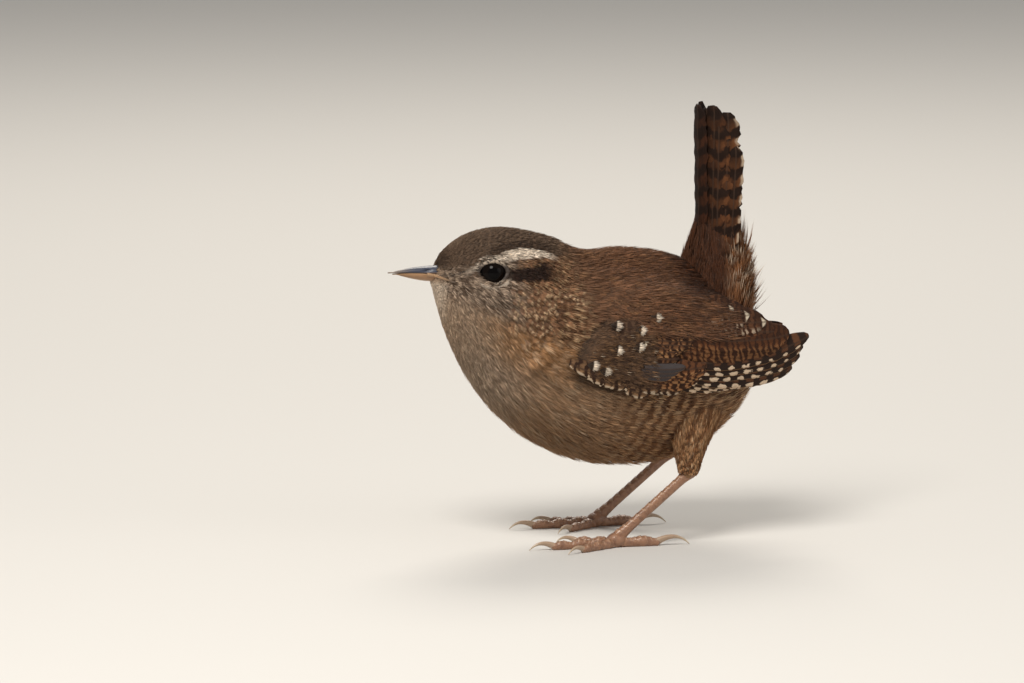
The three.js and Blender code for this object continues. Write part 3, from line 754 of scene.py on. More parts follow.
def under_parts(graph, colours, at):
    """Grey-buff throat and breast, ochre breast sides, browner belly and barred flanks."""
    x, z, out, wander = at.x, at.z, at.out, at.wander
    side = (out * 0.9 - (44.0 - z) * 0.05 + wander * 0.8).ramp(6.5, 11.0) * z.ramp(30.0, 37.0)
    speckle = (at.streak * 0.6 + at.wave * 0.65).ramp(0.6, 0.9)
    # the bars of flank and vent grow stronger to the rear
    here = graph.split(graph.object_place())
    bent = wander * 0.8 + (at.wave - 0.5) * 3.0 + at.shade * 0.9
    bar = ((here[0] - here[2] * 0.45 + bent) * 2.5).sin().ramp(-0.1, 0.6)
    barred = x.ramp(-4.0, 9.0) * z.ramp(40.0, 33.0) * (0.6 + 0.4 * z.ramp(21.0, 29.0))
    # painted shadow: the wing's shadow under its lower edge is painted as a dark line
    painted_wing_shadow = z - (30.0 + ((x - 5.0) / 9.0) ** 2.0 * 1.6) + wander * 0.2
    painted_wing_shadow = painted_wing_shadow.band(-0.2, 0.6, 0.7) * x.ramp(-10.0, -7.0) * x.ramp(19.0, 14.0) * out.ramp(6.0, 9.0)
    return graph.paint(
        colours.throat,
        (x.ramp(-24.0, -10.0) * 0.55, colours.breast),
        (side * 0.9, colours.breast),
        (z.ramp(29.0, 19.0), colours.belly),
        (x.ramp(-4.0, 12.0) * z.ramp(44.0, 33.0), colours.flank),
        # painted shade: the lower front of the breast is greyer and darker
        (x.ramp(-13.0, -23.0) * z.ramp(40.0, 32.0) * 0.6, (0.36, 0.27, 0.2)),
        (speckle * 0.5, (0.17, 0.105, 0.06)),
        (at.shade.ramp(0.7, 1.0) * 0.35, (0.6, 0.47, 0.33)),
        (bar * barred * (0.6 + 0.38 * at.streak), colours.flank_bar),
        ((bar + 0.55).ramp(0.6, 0.56) * barred * 0.45, (0.5, 0.34, 0.19)),
        # painted shadow under the wing's lower edge
        (painted_wing_shadow * 0.7, (0.035, 0.018, 0.01)),
    )


def cheek_and_neck(graph, colours, at):
    """Buff cheek with curled dark marks that grow into dark scales behind."""
    mottled = (at.curly * 0.95 + at.streak * 0.22).ramp(0.53, 0.63)
    cheek = graph.paint(colours.cheek, (mottled * 0.85, colours.cheek_dark))
    scaled = (at.fine * 0.75 + at.shade * 0.45).ramp(0.5, 0.72)
    neck = graph.paint(
        (0.34, 0.18, 0.095),
        (scaled * 0.75, colours.mantle_dark),
        (at.spot * at.shade.ramp(0.1, 0.4) * 0.9, (0.72, 0.48, 0.27)),
    )
    return graph.paint(cheek, ((at.x + at.wander * 1.2).ramp(-18.5, -14.0), neck))


def back_and_crown(graph, colours, at):
    """Rufous brown back with faint bars, and the greyer, streaked crown."""
    x, z, wander = at.x, at.z, at.wander
    barred = ((x * 1.6 + z * 1.2 + wander * 2.4) * 1.25).sin().ramp(0.2, 0.9) * x.ramp(0.0, 12.0)
    back = graph.paint(
        colours.mantle,
        (x.ramp(6.0, -14.0) * 0.7, colours.crown),
        ((at.streak * 0.5 + at.wave * 0.6).ramp(0.56, 0.82) * 0.65, colours.mantle_dark),
        (barred * 0.5, colours.mantle_dark),
        (at.shade.ramp(0.84, 1.0) * 0.3, colours.buff),
    )
    streaked = (at.streak * 0.6 + at.wave * 0.5 + at.tip * 0.1).ramp(0.5, 0.85)
    return back, graph.paint(colours.crown, (streaked * 0.75, colours.crown_dark))


def head_marks(graph, colours, at, colour):
    """Eyebrow, eye stripe, lore, eye ring and the feathers round the bill, over the face's colour."""
    x, z, out, wander, ragged = at.x, at.z, at.out, at.wander, at.ragged
    on_side = out.ramp(3.2, 4.6)
    # the cream eyebrow is thin before the eye, broad behind it, and ends at the nape
    arch = z - (55.35 - ((x + 15.6) / 6.2) ** 2.0)
    border = (arch + wander * 0.12).band(1.55, 0.5, 0.5) * x.ramp(-24.0, -20.0) * x.ramp(-8.0, -11.0)
    thin = (arch + wander * 0.15).band(0.0, 0.3, 0.5) * x.ramp(-29.0, -23.5) * x.ramp(-14.0, -17.0)
    taper = 0.92 + x.ramp(-15.0, -9.0) * 0.8
    broad = ((arch + wander * 0.3) * taper).band(0.0, 0.64, 0.42) * x.ramp(-20.5, -17.5)
    broad = broad * (x + wander * 1.6).ramp(-7.8, -12.0)
    # the dark stripe starts at the rear corner of the eye and widens to the ear
    wedge = (z - 51.6 - (x + 14.0) * 0.06 + wander * 0.3) / (0.85 + (x + 19.0) * 0.09)
    stripe = abs(wedge).ramp(1.35, 0.8) * x.ramp(-19.9, -18.9) * (x + wander * 1.2).ramp(-8.0, -12.0)
    lore = (z - 52.6 + wander * 0.2).band(0.0, 0.8, 0.9) * x.ramp(-29.0, -26.0) * x.ramp(-23.6, -24.6)
    # the pale ring of the eye is broken before and behind it
    ring = (((x - EYE[0]) * 0.92) ** 2.0 + ((z - EYE[2]) * 1.02) ** 2.0).root()
    ringed = ring.band(3.0, 0.2, 0.3) * out.ramp(5.0, 6.0) * abs(z - EYE[2]).ramp(1.0, 2.0)
    nose = x.ramp(-28.6, -30.6) * z.ramp(51.8, 52.6)
    chin = x.ramp(-29.5, -31.5) * z.ramp(50.4, 49.2)
    return graph.paint(
        colour,
        (lore * 0.75 * on_side, (0.1, 0.062, 0.04)),
        (border * 0.75 * on_side, colours.crown_dark),
        (thin * 0.6 * ragged * on_side, colours.brow),
        (broad * ragged * on_side, colours.brow),
        (stripe * (0.6 + 0.4 * ragged) * on_side, colours.stripe),
        (ringed * 0.5 * at.curly.ramp(0.4, 0.55), colours.brow),
        (nose * 0.6, colours.crown_dark),
        (chin * 0.5, colours.brow),
    )


def rump_and_vent(graph, colours, at):
    """Dark rufous rump in front of the tail, and the loose barred coverts behind it."""
    banded = ((at.z + at.out * 0.3 + at.wander * 1.6) * 2.1).sin().ramp(0.0, 0.7)
    rump = graph.paint(
        colours.rump,
        (banded * 0.65, colours.mantle_dark),
        ((at.streak * 0.6 + at.wave * 0.5).ramp(0.55, 0.85) * 0.5, colours.mantle_dark),
    )
    vent = graph.paint(
        (0.22, 0.095, 0.04),
        (banded * 0.6, colours.flank_bar),
        (at.tip * at.shade.ramp(0.3, 0.8) * 0.7, colours.pale),
    )
    return rump, vent


def plumage(graph, *wires):
    """The bird's markings at a place in its own frame, the same for skin and coat."""
    colours = settings()[1]
    at = Feathering(graph, *wires)
    x, z, out, wander = at.x, at.z, at.out, at.wander
    on_cheek = (z + wander * 0.9 + (x + 24.0) * 0.4).ramp(42.0, 47.0) * out.ramp(2.2, 4.8)
    behind = (x + 4.6 + wander * 0.9 + (z - 45.0).most(0.0) * 0.22).ramp(-2.0, 2.2)
    behind = behind * (z + wander * 0.5).ramp(30.5, 34.0)
    ridge = 54.0 + ((x + 22.0) * 0.18).least(0.0)
    on_crown = (z - ridge + wander * 0.2).ramp(-0.4, 0.9) * x.ramp(-3.0, -9.0)
    back, crown = back_and_crown(graph, colours, at)
    colour = graph.paint(
        under_parts(graph, colours, at),
        (on_cheek, cheek_and_neck(graph, colours, at)),
        (behind, back),
        (on_crown, crown),
    )
    colour = head_marks(graph, colours, at, colour)
    lifted = x.ramp(12.0, 17.0) * z.ramp(43.0, 47.5)
    rump, vent = rump_and_vent(graph, colours, at)
    return graph.paint(colour, (lifted, rump), (lifted * x.ramp(22.5, 26.0), vent))


def coat_material():
    """The barbs of every small feather. Their kind picks plain, shoulder, neck scale or white drop."""
    graph = Graph("plumage")
    colours = settings()[1]
    x, y, z = graph.attribute("place")
    along, across, _ = graph.attribute("vane")
    shade, streak, kind = graph.attribute("marks")
    spot = along.ramp(0.62, 0.85) * abs(across).ramp(0.9, 0.45)
    colour = plumage(graph, x, y, z, along, shade, streak, spot)
    # small feathers of the shoulder: dark centres, faint bars, buff and a few white tips
    blotch = graph.noise(graph.vector(x, y, z), 0.8, 2.0)
    small = graph.paint(
        (0.175, 0.098, 0.055),
        (((x * 1.2 + z * 0.8 + blotch * 5.0) * 2.4).sin().ramp(0.0, 0.8) * 0.65, (0.035, 0.019, 0.012)),
        ((streak * 0.6 + blotch * 0.6).ramp(0.55, 0.8) * 0.5, (0.045, 0.025, 0.016)),
        (along.ramp(0.6, 0.95) * shade.ramp(0.5, 0.8) * 0.75, colours.buff),
        (along.ramp(0.7, 0.9) * shade.ramp(0.965, 0.975) * 0.85, colours.pale),
    )
    scale = graph.paint(
        (0.17, 0.088, 0.048),
        (along.ramp(0.6, 0.82) * abs(across).ramp(1.05, 0.5), (0.86, 0.6, 0.37)),
        (streak.ramp(0.7, 0.95) * 0.6, (0.09, 0.045, 0.024)),
    )
    soft = (x + blotch * 5.0).ramp(-19.0, -14.5) * (z + blotch * 5.0).ramp(38.0, 43.0)
    scale = graph.blend((0.55 + shade * 0.45) * x.ramp(-3.5, -7.0) * soft, colour, scale)
    white = graph.paint((0.03, 0.018, 0.012), (along.ramp(0.5, 0.62), (0.66, 0.56, 0.45)))
    kinds = ((SHOULDER_KIND, small), (SCALE_KIND, scale), (DROP_KIND, white))
    colour = graph.paint(colour, *((kind.band(number, 0.3, 0.1), layer) for number, layer in kinds))
    # the hidden roots are grey down, and single barbs vary
    colour = graph.blend(along.ramp(0.5, 0.1) * 0.5, colour, (0.05, 0.036, 0.026))
    colour = graph.dim(colour, 0.62 + streak * 0.74)
    return graph.finish(colour, 0.85, Sheen_Weight=0.04, Sheen_Roughness=0.4, Specular_IOR_Level=0.15)


def skin_material():
    """The same markings on the skin, darker, for what shows between the barbs."""
    graph = Graph("skin_under_plumage")
    place = graph.object_place()
    x, y, z = graph.split(place)
    streak = graph.noise(graph.vector(x * 0.5, y, z), 3.2, 2.0).ramp(0.25, 0.75)
    shade = graph.noise(place, 0.9, 1.0).ramp(0.2, 0.8)
    colour = plumage(graph, x, y, z, graph.value(0.6), shade, streak, graph.value(0.4))
    colour = graph.blend(0.35, colour, (0.05, 0.04, 0.033))
    return graph.finish(colour, 0.9, streak, 0.4, 0.0003, Specular_IOR_Level=0.2)


# Stage

PIXELS_PER_MM = 5.3
FRAME_SIZE = (1024, 683)
FOOT_PIXEL = (596, 537)  # where the origin of the bird's frame stands in the photograph
SENSOR = 36.0
FLOOR_REACH = 4.0
# Soft lights: place from the bird's middle, size, power, tint
LIGHTS_AROUND = (0.0, 0.0, 0.04)
LIGHTS = {
    "key": ((-0.28, -0.40, 0.62), 0.35, 5.8, (1.0, 0.95, 0.88)),
    "fill": ((0.60, -0.50, 0.25), 0.60, 1.0, (1.0, 0.98, 0.96)),
    "rim": ((0.15, 0.60, 0.60), 0.40, 3.6, (1.0, 0.93, 0.83)),
}


def view_axes(azimuth, elevation):
    """Directions from the bird to the camera, to its right and up."""
    level, high = math.cos(elevation), math.sin(elevation)
    back = np.array([math.sin(azimuth) * level, -math.cos(azimuth) * level, high])
    right = np.array([math.cos(azimuth), math.sin(azimuth), 0.0])
    return back, right, np.cross(back, right)


class WREN_OT_stage(bpy.types.Operator):
    """Make the camera, the soft lights and the floor"""

    bl_idname = "wren.stage"
    bl_label = "Stage"

    def execute(self, context):
        stage = settings()[2]
        scene = context.scene
        back, right, up = view_axes(stage.azimuth, stage.elevation)
        aim = right * (FRAME_SIZE[0] / 2 - FOOT_PIXEL[0]) + up * (FOOT_PIXEL[1] - FRAME_SIZE[1] / 2)
        aim = (aim / PIXELS_PER_MM + SHIFT) * MM
        data = bpy.data.cameras.new("camera")
        data.lens, data.sensor_width = stage.lens, SENSOR
        width = FRAME_SIZE[0] / PIXELS_PER_MM * MM
        distance = width * data.lens / data.sensor_width
        data.clip_start, data.clip_end = 0.05, 20.0
        camera = bpy.data.objects.new("camera", data)
        camera.location = Vector(aim + back * distance)
        camera.rotation_mode = "QUATERNION"
        camera.rotation_quaternion = Vector(-back).to_track_quat("-Z", "Y")
        scene.collection.objects.link(camera)
        scene.camera = camera
        scene.view_settings.view_transform = "Standard"
        self.lights(scene)
        self.ground(scene, stage.floor)
        return {"FINISHED"}

    def lights(self, scene):
        """An even sky and three soft lights."""
        world = bpy.data.worlds.new("studio")
        world.use_nodes = True
        background = world.node_tree.nodes["Background"]
        background.inputs["Color"].default_value = (1.0, 0.97, 0.93, 1.0)
        background.inputs["Strength"].default_value = 0.36
        scene.world = world
        middle = Vector(LIGHTS_AROUND)
        for name, (place, size, power, tint) in LIGHTS.items():
            data = bpy.data.lights.new(name, "AREA")
            data.shape, data.size, data.energy, data.color = "DISK", size, power, tint
            lamp = bpy.data.objects.new(name, data)
            lamp.location = middle + Vector(place)
            lamp.rotation_mode = "QUATERNION"
            lamp.rotation_quaternion = (-Vector(place)).to_track_quat("-Z", "Y")
            scene.collection.objects.link(lamp)

    def ground(self, scene, colour):
        """A plain floor under the soles."""
        material = Graph("floor").finish(tuple(colour), 0.75)
        mesh = bpy.data.meshes.new("floor")
        corners = [(x * FLOOR_REACH, y * FLOOR_REACH, 0) for x, y in ((-1, -1), (1, -1), (1, 1), (-1, 1))]
        mesh.from_pydata(corners, [], [(0, 1, 2, 3)])
        mesh.materials.append(material)
        floor = bpy.data.objects.new("floor", mesh)
        scene.collection.objects.link(floor)


# Skin


def coat_depth(s):
    """How far the skin lies inside the coat, by station."""
    return np.interp(s, [0, 1, 3, 6, 9, 15, 17], [0.35, 0.45, 0.7, 1.1, 1.5, 1.5, 0.8])


class WREN_OT_skin(bpy.types.Operator):
    """Make the one skin that lies inside the coat"""

    bl_idname = "wren.skin"
    bl_label = "Skin"

    def execute(self, context):
        parts = [self.loft(BODY, 120, 96, coat_depth)]
        parts += [self.loft(thigh_tube(side), 24, 28, lambda s: np.full_like(s, 0.45)) for side in SIDES]
        points, faces = joined(parts)
        skin = new_mesh("skin", points, faces, skin_material())
        place_piece(skin, "breast_feathers", "torso", "neck", "head", "thigh_left", "thigh_right")
        return {"FINISHED"}

    def loft(self, tube, rings, around, depth):
        """A closed form that lies a depth inside a tube."""
        s = np.linspace(0, tube.last, rings)[:, None] + np.zeros((1, around))
        angle = turns(around)[None] + np.zeros((rings, 1))
        place = tube.point(s, angle) - tube.normal(s, angle) * depth(s)[..., None]
        return tube_mesh(place)


# Coat


def eye_share(place):
    """1 at the rim of the eye's opening, less inside it."""
    return np.sqrt(((place[..., 0] - EYE[0]) / 2.75) ** 2 + ((place[..., 2] - EYE[2]) / 2.35) ** 2)


# The folded wing in the side view: its shoulder's edges, and the heights of its edges by x
SHOULDER_LOWER = ((-9.0, 34.6), (-4.0, 31.9), (3.0, 30.4), (9.5, 30.6), (14.5, 32.4))
SHOULDER_UPPER = ((-8.6, 37.2), (-4.6, 42.0), (3.0, 46.2), (9.5, 46.8), (15.5, 45.2))
WING_LOW = ((-9, -4, 3, 9.5, 24), (34.6, 31.9, 30.4, 30.6, 31.0))
WING_HIGH = ((-9, -4.6, 3, 9.5, 15.5, 24, 30), (36.0, 42.0, 46.2, 46.8, 45.2, 43.0, 40.0))
WING_MARGINS = (1.6, 2.4)


def under_wing(place):
    """Whether the folded wing hides a place of the flank."""
    x, z = place[..., 0], place[..., 2]
    low = np.interp(x, *WING_LOW) + WING_MARGINS[0]
    high = np.interp(x, *WING_HIGH) - WING_MARGINS[1]
    return (x > -7.5) & (z > low) & (z < high) & (np.abs(place[..., 1]) > 6)


def body_unwrap(root, seen):
    """Where a tuft's own patch of the OFBake map lies."""
    return np.stack([0.02 + 0.6 * root[0] / LAST, 0.5 + 0.47 * root[1] / math.pi], -1)


# Coat sections from the bill to the tail: first and last station, barbs to a tuft
COAT_SECTIONS = {
    "coat_face": (0, 3.2, 7),
    "coat_head": (3.2, 6.0, 9),
    "coat_neck": (6.0, 8.6, 9),
    "coat_breast": (8.6, 12.2, 11),
    "coat_rear": (12.2, LAST, 11),
}
# Feather lengths at the stations of the head, as shares of a body feather
HEAD_STATIONS = (0, 1, 2, 3, 4, 5, 6, 7, 9)
HEAD_LENGTHS = (0.2, 0.26, 0.31, 0.36, 0.42, 0.5, 0.6, 0.75, 1.0)
NOSE_TUFTS = 420
NECK_TUFTS = 330


class WREN_OT_coat(bpy.types.Operator):
    """Grow the small feathers of head, body and thighs"""

    bl_idname = "wren.coat"
    bl_label = "Small feathers"

    def execute(self, context):
        feathers = settings()[0]
        rng = draws(0)
        longest = feathers.body_feather / MM
        closeness = feathers.density * 1.0
        material = coat_material()

        def length(s):
            """Feathers grow longer from the bill to the shoulders."""
            return np.interp(s, HEAD_STATIONS, HEAD_LENGTHS) * longest

        def under(s, angle):
            """1 on throat and breast, where feathers are longer."""
            return smooth(1.2, 1.8, np.abs(angle)) * smooth(1.5, 3.5, s) * (1 - smooth(7, 9, s))

        def spacing(s, angle):
            share = np.interp(s, [0, 3, 6, 9], [0.22, 0.225, 0.21, 0.185])
            return length(s) * share / closeness

        def keep(s, angle):
            """Leaves the eye open and nothing under the folded wing."""
            root = BODY.point(s, angle)
            along = length(s)
            tip = BODY.walk((s, angle), along, np.zeros_like(along))[0]
            clear = (eye_share(root) > 1.0) & (eye_share(tip) > 0.93) | (np.abs(root[:, 1]) < 3)
            return clear & ~under_wing(root)

        for name, (first, last, barbs) in COAT_SECTIONS.items():
            coat = Coat(rng)
            s, angle = scatter(rng, BODY, spacing, (first, last), keep)
            long = length(s) * rng.uniform(0.85, 1.15, len(s)) * (1 + 0.6 * under(s, angle))
            fluffy = smooth(8, 11, s) * smooth(1.4, 2.4, np.abs(angle))
            width = long * np.interp(s, [0, 4, 9], [0.55, 0.5, 0.46])
            lift = np.interp(s, [0, 3, 6, 9], [-0.1, -0.2, -0.1, 0.12]) + 0.35 * fluffy
            barb = np.interp(s, [0, 3, 6, 9], [0.12, 0.15, 0.18, 0.22])
            coat.add(
                BODY, (s, angle), long, width, coat_depth(s) + 0.1, lift, barbs, body_unwrap, barb=barb
            )
            coat.pieces(name, material, "breast_feathers")
        self.nose(rng, material)
        self.neck(rng, material)
        for side in SIDES:
            self.thigh(rng, side, material, closeness)
        return {"FINISHED"}

    def nose(self, rng, material):
        """Short feathers that lie forwards over the base of the bill."""
        coat = Coat(rng)
        n = NOSE_TUFTS
        s, angle = rng.uniform(0.3, 1.5, n), rng.uniform(-2.5, 2.5, n)
        long = np.where(np.abs(angle) < 1.3, 1.5, 0.8) * rng.uniform(0.7, 1.1, n)
        coat.add(Forward(BODY), (s, angle), long, 0.7, 0.35, 0.05, 6, body_unwrap, barb=0.09)
        coat.pieces("coat_nose", material, "crown_feathers")

    def neck(self, rng, material):
        """Broader buff-tipped feathers on the sides of the neck."""
        coat = Coat(rng)
        for sign in SIDES.values():
            n = NECK_TUFTS
            s, angle = rng.uniform(3.4, 8.0, n), rng.uniform(0.85, 1.95, n) - 0.12 * rng.uniform(0, 1, n)
            root = BODY.point(s, angle)
            kept = (root[:, 0] > -20.5) & (root[:, 2] < 50.0 - 0.1 * (root[:, 0] + 20))
            s, angle = s[kept], angle[kept] * sign
            coat.add(
                BODY, (s, angle), rng.uniform(1.9, 2.9, len(s)), 1.25, 0.5, 0.32, 11, body_unwrap,
                kind=SCALE_KIND, barb=0.16, loose=0.14,
            )
        coat.pieces("coat_neck_sides", material, "breast_feathers")

    def thigh(self, rng, side, material, closeness):
        """Shorter feathers down the thigh, smallest at the ankle."""
        tube = thigh_tube(side)
        gap = 0.69 / closeness
        s, angle = scatter(rng, tube, lambda s, angle: np.full_like(s, gap), (0, 3.3))
        long = np.interp(s, [0, 2, 3.3], [4.2, 2.7, 1.2]) * rng.uniform(0.85, 1.15, len(s))
        coat = Coat(rng)

        def unwrap(root, seen):
            base = 0.8 if side == "left" else 0.9
            return np.stack([0.66 + 0.06 * root[0] / tube.last, base + 0.04 * root[1] / math.pi], -1)

        coat.add(tube, (s, angle), long, long * 0.45, 0.4, 0.0, 8, unwrap, barb=0.18)
        coat.pieces(f"coat_thigh_{side}", material, "breast_feathers")


# Wing and tail vanes

UMBER = (0.022, 0.0095, 0.0055)  # dark bars of the wing


def outline(t, blunt=0.7):
    """Half width of a flight feather as a share of its widest, from root to tip."""
    root = np.minimum(1, 0.5 + 1.5 * t)
    tip = np.sqrt(np.maximum(0, 1 - (np.maximum(t - blunt, 0) / (1.005 - blunt)) ** 2))
    return root * tip


def vane_faces(rows, columns):
    """Triangles of a closed vane: the outer grid, then the inner grid, then their rim."""
    r, c = np.meshgrid(np.arange(rows - 1), np.arange(columns - 1), indexing="ij")
    a = (r * columns + c).ravel()
    b, d, e = a + columns, a + columns + 1, a + 1
    shift = rows * columns
    faces = [np.stack(v, -1) for v in ((a, b, d), (a, d, e))]
    faces += [np.stack(v, -1) + shift for v in ((a, d, b), (a, e, d))]
    rim = [i * columns for i in range(rows - 1)]
    rim += [(rows - 1) * columns + i for i in range(columns - 1)]
    rim += [i * columns + columns - 1 for i in range(rows - 1, 0, -1)]
    rim += list(range(columns - 1, 0, -1))
    rim = np.array(rim)
    following = np.roll(rim, -1)
    under = rim + shift
    faces += [np.stack(v, -1) for v in ((following, rim, under), (following, under, following + shift))]
    return np.concatenate(faces)


VANE_THICKNESS = 0.14
RIPPLES = (2.7, 4.1, 9.0)  # lengths of the slight waves along a vane


def vane(
    place, length, width, rng, cell, rows=26, columns=11, shaft=-0.18, blunt=0.7,
    camber=0.25, kind=0.0, fray=0.03, ripple=0.012, hand=1,
):
    """One flight feather. place(t, out) gives the points and normals, t a share of the length."""
    t = np.linspace(0, 1, rows) ** 0.85
    u = np.linspace(-1, 1, columns)
    across = u[None] * np.ones((rows, 1))
    far = t[:, None] + np.zeros((1, columns))
    # barbs run outwards and forwards, so the edges reach a little towards the tip and part here and there
    parted = rng.normal(0, fray, (rows, 2))
    half = outline(t, blunt)[:, None] * width / 2
    ragged = 1 + np.where(across < 0, parted[:, :1], parted[:, 1:]) * np.abs(across) * (far > 0.1)
    out = across * half * ragged
    point, normal = place(far, out)
    ridge = np.exp(-(((across - shaft) * half / 0.22) ** 2)) * 0.16 * (1 - 0.6 * far)
    height = camber * (1 - across**2) * np.minimum(1, half / (width / 2)) + ridge
    wave = rng.uniform(0, 2 * math.pi, 3)[:, None, None]
    waves = (
        np.sin(far * length / pitch * 2 * math.pi + across + start) for pitch, start in zip(RIPPLES, wave)
    )
    height = height + ripple * sum(waves)
    top = point + normal * (VANE_THICKNESS + height)[..., None]
    bottom = point + normal * (height - ridge * 0.6)[..., None]
    points = np.concatenate([top.reshape(-1, 3), bottom.reshape(-1, 3)])
    faces = vane_faces(rows, columns)
    a, b, c = (points[faces[:, k]] for k in range(3))
    if np.einsum("ij,ij->i", a - points.mean(0), np.cross(b - a, c - a)).sum() <= 0:
        faces = faces[:, ::-1]
    marks = np.stack([(1 - far) * length, across * hand, np.full_like(far, length)], -1).reshape(-1, 3)
    chance = np.full_like(far, rng.uniform())
    more = np.stack([chance, np.full_like(far, kind), (across - shaft) * half], -1).reshape(-1, 3)
    (left, low), (wide, high) = cell
    patch = np.stack([left + far * wide, low + (across * 0.5 + 0.5) * high], -1).reshape(-1, 2)
    under = patch + np.array([0, high * 1.08])
    return points, faces, np.tile(marks, (2, 1)), np.tile(more, (2, 1)), np.concatenate([patch, under])


def vane_piece(name, parts, material, node, slot="wing_feathers"):
    """Vanes joined as one piece."""
    points, faces, marks, more, patches = joined(parts)
    obj = new_mesh(name, points, faces, material, vectors={"vane": marks, "more": more}, patches=patches)
    place_piece(obj, slot, node)


def wing_vane(side, root, tip, width, lift, bow, tilt, **more):
    """One feather of the folded wing, from root to tip in the side view."""
    root, tip = np.array(root, float), np.array(tip, float)
    along = tip - root
    length = np.linalg.norm(along)
    aside = np.array([-along[1], along[0]]) / length

    def place(t, out):
        bend = bow * length * 4 * t * (1 - t)
        x = root[0] + along[0] * t + aside[0] * (bend + out)
        z = root[1] + along[1] * t + aside[1] * (bend + out)
        point, normal = SHEET.place(x, z, side)
        return point + normal * (lift + tilt * out)[..., None], normal

    return vane(place, length, width, **more)


def cells(count):
    """Places on the OFBake map for vanes, one strip for each."""
    high = 0.9 / count
    return [((0.02, 0.05 + i * high), (0.17, high * 0.42)) for i in range(count)]


# Tiers of the folded wing: places run from the outer feather to the inner one. Lift is a feather's
# distance off the wing's bed, rise what each next one adds, bow its curve and tilt its slope across.
TIERS = {
    "primaries": {
        "count": 7, "width": 3.9, "lift": 0.40, "rise": 0.2, "bow": -0.045, "tilt": -0.12, "blunt": 0.66,
        "roots": ((8.5, 32.6), (9.5, 33.6), (10.5, 35.4)),
        "tips": ((24.0, 31.0), (35.2, 32.8), (38.2, 37.4)),
    },
    "secondaries": {
        "count": 7, "width": 4.6, "lift": 1.40, "rise": 0.12, "bow": -0.035, "tilt": -0.1, "blunt": 0.78,
        "roots": ((10.5, 35.6), (11.0, 37.6), (11.5, 39.8)),
        "tips": ((30.0, 36.9), (32.6, 37.7), (33.8, 38.5)),
    },
    "tertials": {
        "count": 4, "width": 5.0, "lift": 2.05, "rise": 0.16, "bow": 0.03, "tilt": -0.08, "blunt": 0.66,
        "roots": ((11.0, 39.6), (11.0, 41.4), (12.0, 42.6)),
        "tips": ((31.6, 39.2), (27.6, 41.2), (22.4, 42.6)),
    },
    "marginal_coverts": {
        "count": 17, "width": 2.5, "lift": 1.3, "rise": 0.045, "bow": -0.03, "tilt": -0.12, "blunt": 0.5,
        "roots": ((6.8, 31.2), (-1.0, 32.4), (-9.4, 35.9)),
        "tips": ((12.4, 31.0), (4.6, 30.8), (-3.6, 33.2)),
    },
    "primary_coverts": {
        "count": 7, "width": 2.5, "lift": 1.45, "rise": 0.09, "bow": -0.03, "tilt": -0.12, "blunt": 0.6,
        "roots": ((3.5, 31.9), (4.5, 33.2), (5.0, 34.6)),
        "tips": ((14.2, 31.3), (15.8, 32.7), (15.9, 34.6)),
    },
    "greater_coverts": {
        "count": 11, "width": 2.5, "lift": 1.9, "rise": 0.05, "bow": -0.02, "tilt": -0.13, "blunt": 0.66,
        "roots": ((0.5, 35.6), (2.5, 39.2), (5.5, 42.4)),
        "tips": ((9.6, 35.0), (13.6, 38.2), (17.4, 42.4)),
    },
    "median_coverts": {
        "count": 10, "width": 2.6, "lift": 2.15, "rise": 0.02, "bow": -0.02, "tilt": -0.13, "blunt": 0.5,
        "roots": ((-3.9, 35.4), (-2.4, 38.4), (0.5, 41.6)),
        "tips": ((1.9, 34.4), (4.8, 37.8), (7.6, 41.6)),
    },
}


BARB_PITCH = 0.3


class VaneWires:
    """Coordinates of a vane as wires, and the fine lines of its barbs."""

    def __init__(self, graph):
        self.back, self.across, _ = graph.attribute("vane")
        self.chance, self.kind, self.out = graph.attribute("more")
        slant = self.back + abs(self.out) * 0.9
        self.lines = (slant * (2 * math.pi / BARB_PITCH)).sin() * 0.5 + 0.5
        self.shaft = abs(self.out).ramp(0.2, 0.1)
        self.wander = graph.noise(graph.object_place(), 0.8, 2.0) - 0.5
        grained = graph.vector(self.back * 0.5, self.out * 3.0, self.chance * 40.0)
        self.grain = graph.noise(grained, 2.2, 2.0)


def vane_finish(graph, colour, wires, roughness=0.7):
    """Barb lines in tone and relief, a dark shaft and a dull gloss."""
    colour = graph.dim(colour, 0.78 + wires.lines * 0.16 + wires.grain * 0.3)
    colour = graph.blend(wires.shaft * 0.55, colour, (0.05, 0.028, 0.018))
    relief = wires.lines * 0.6 + wires.grain * 0.4
    return graph.finish(colour, roughness, relief, 0.5, 0.00012, Specular_IOR_Level=0.12)


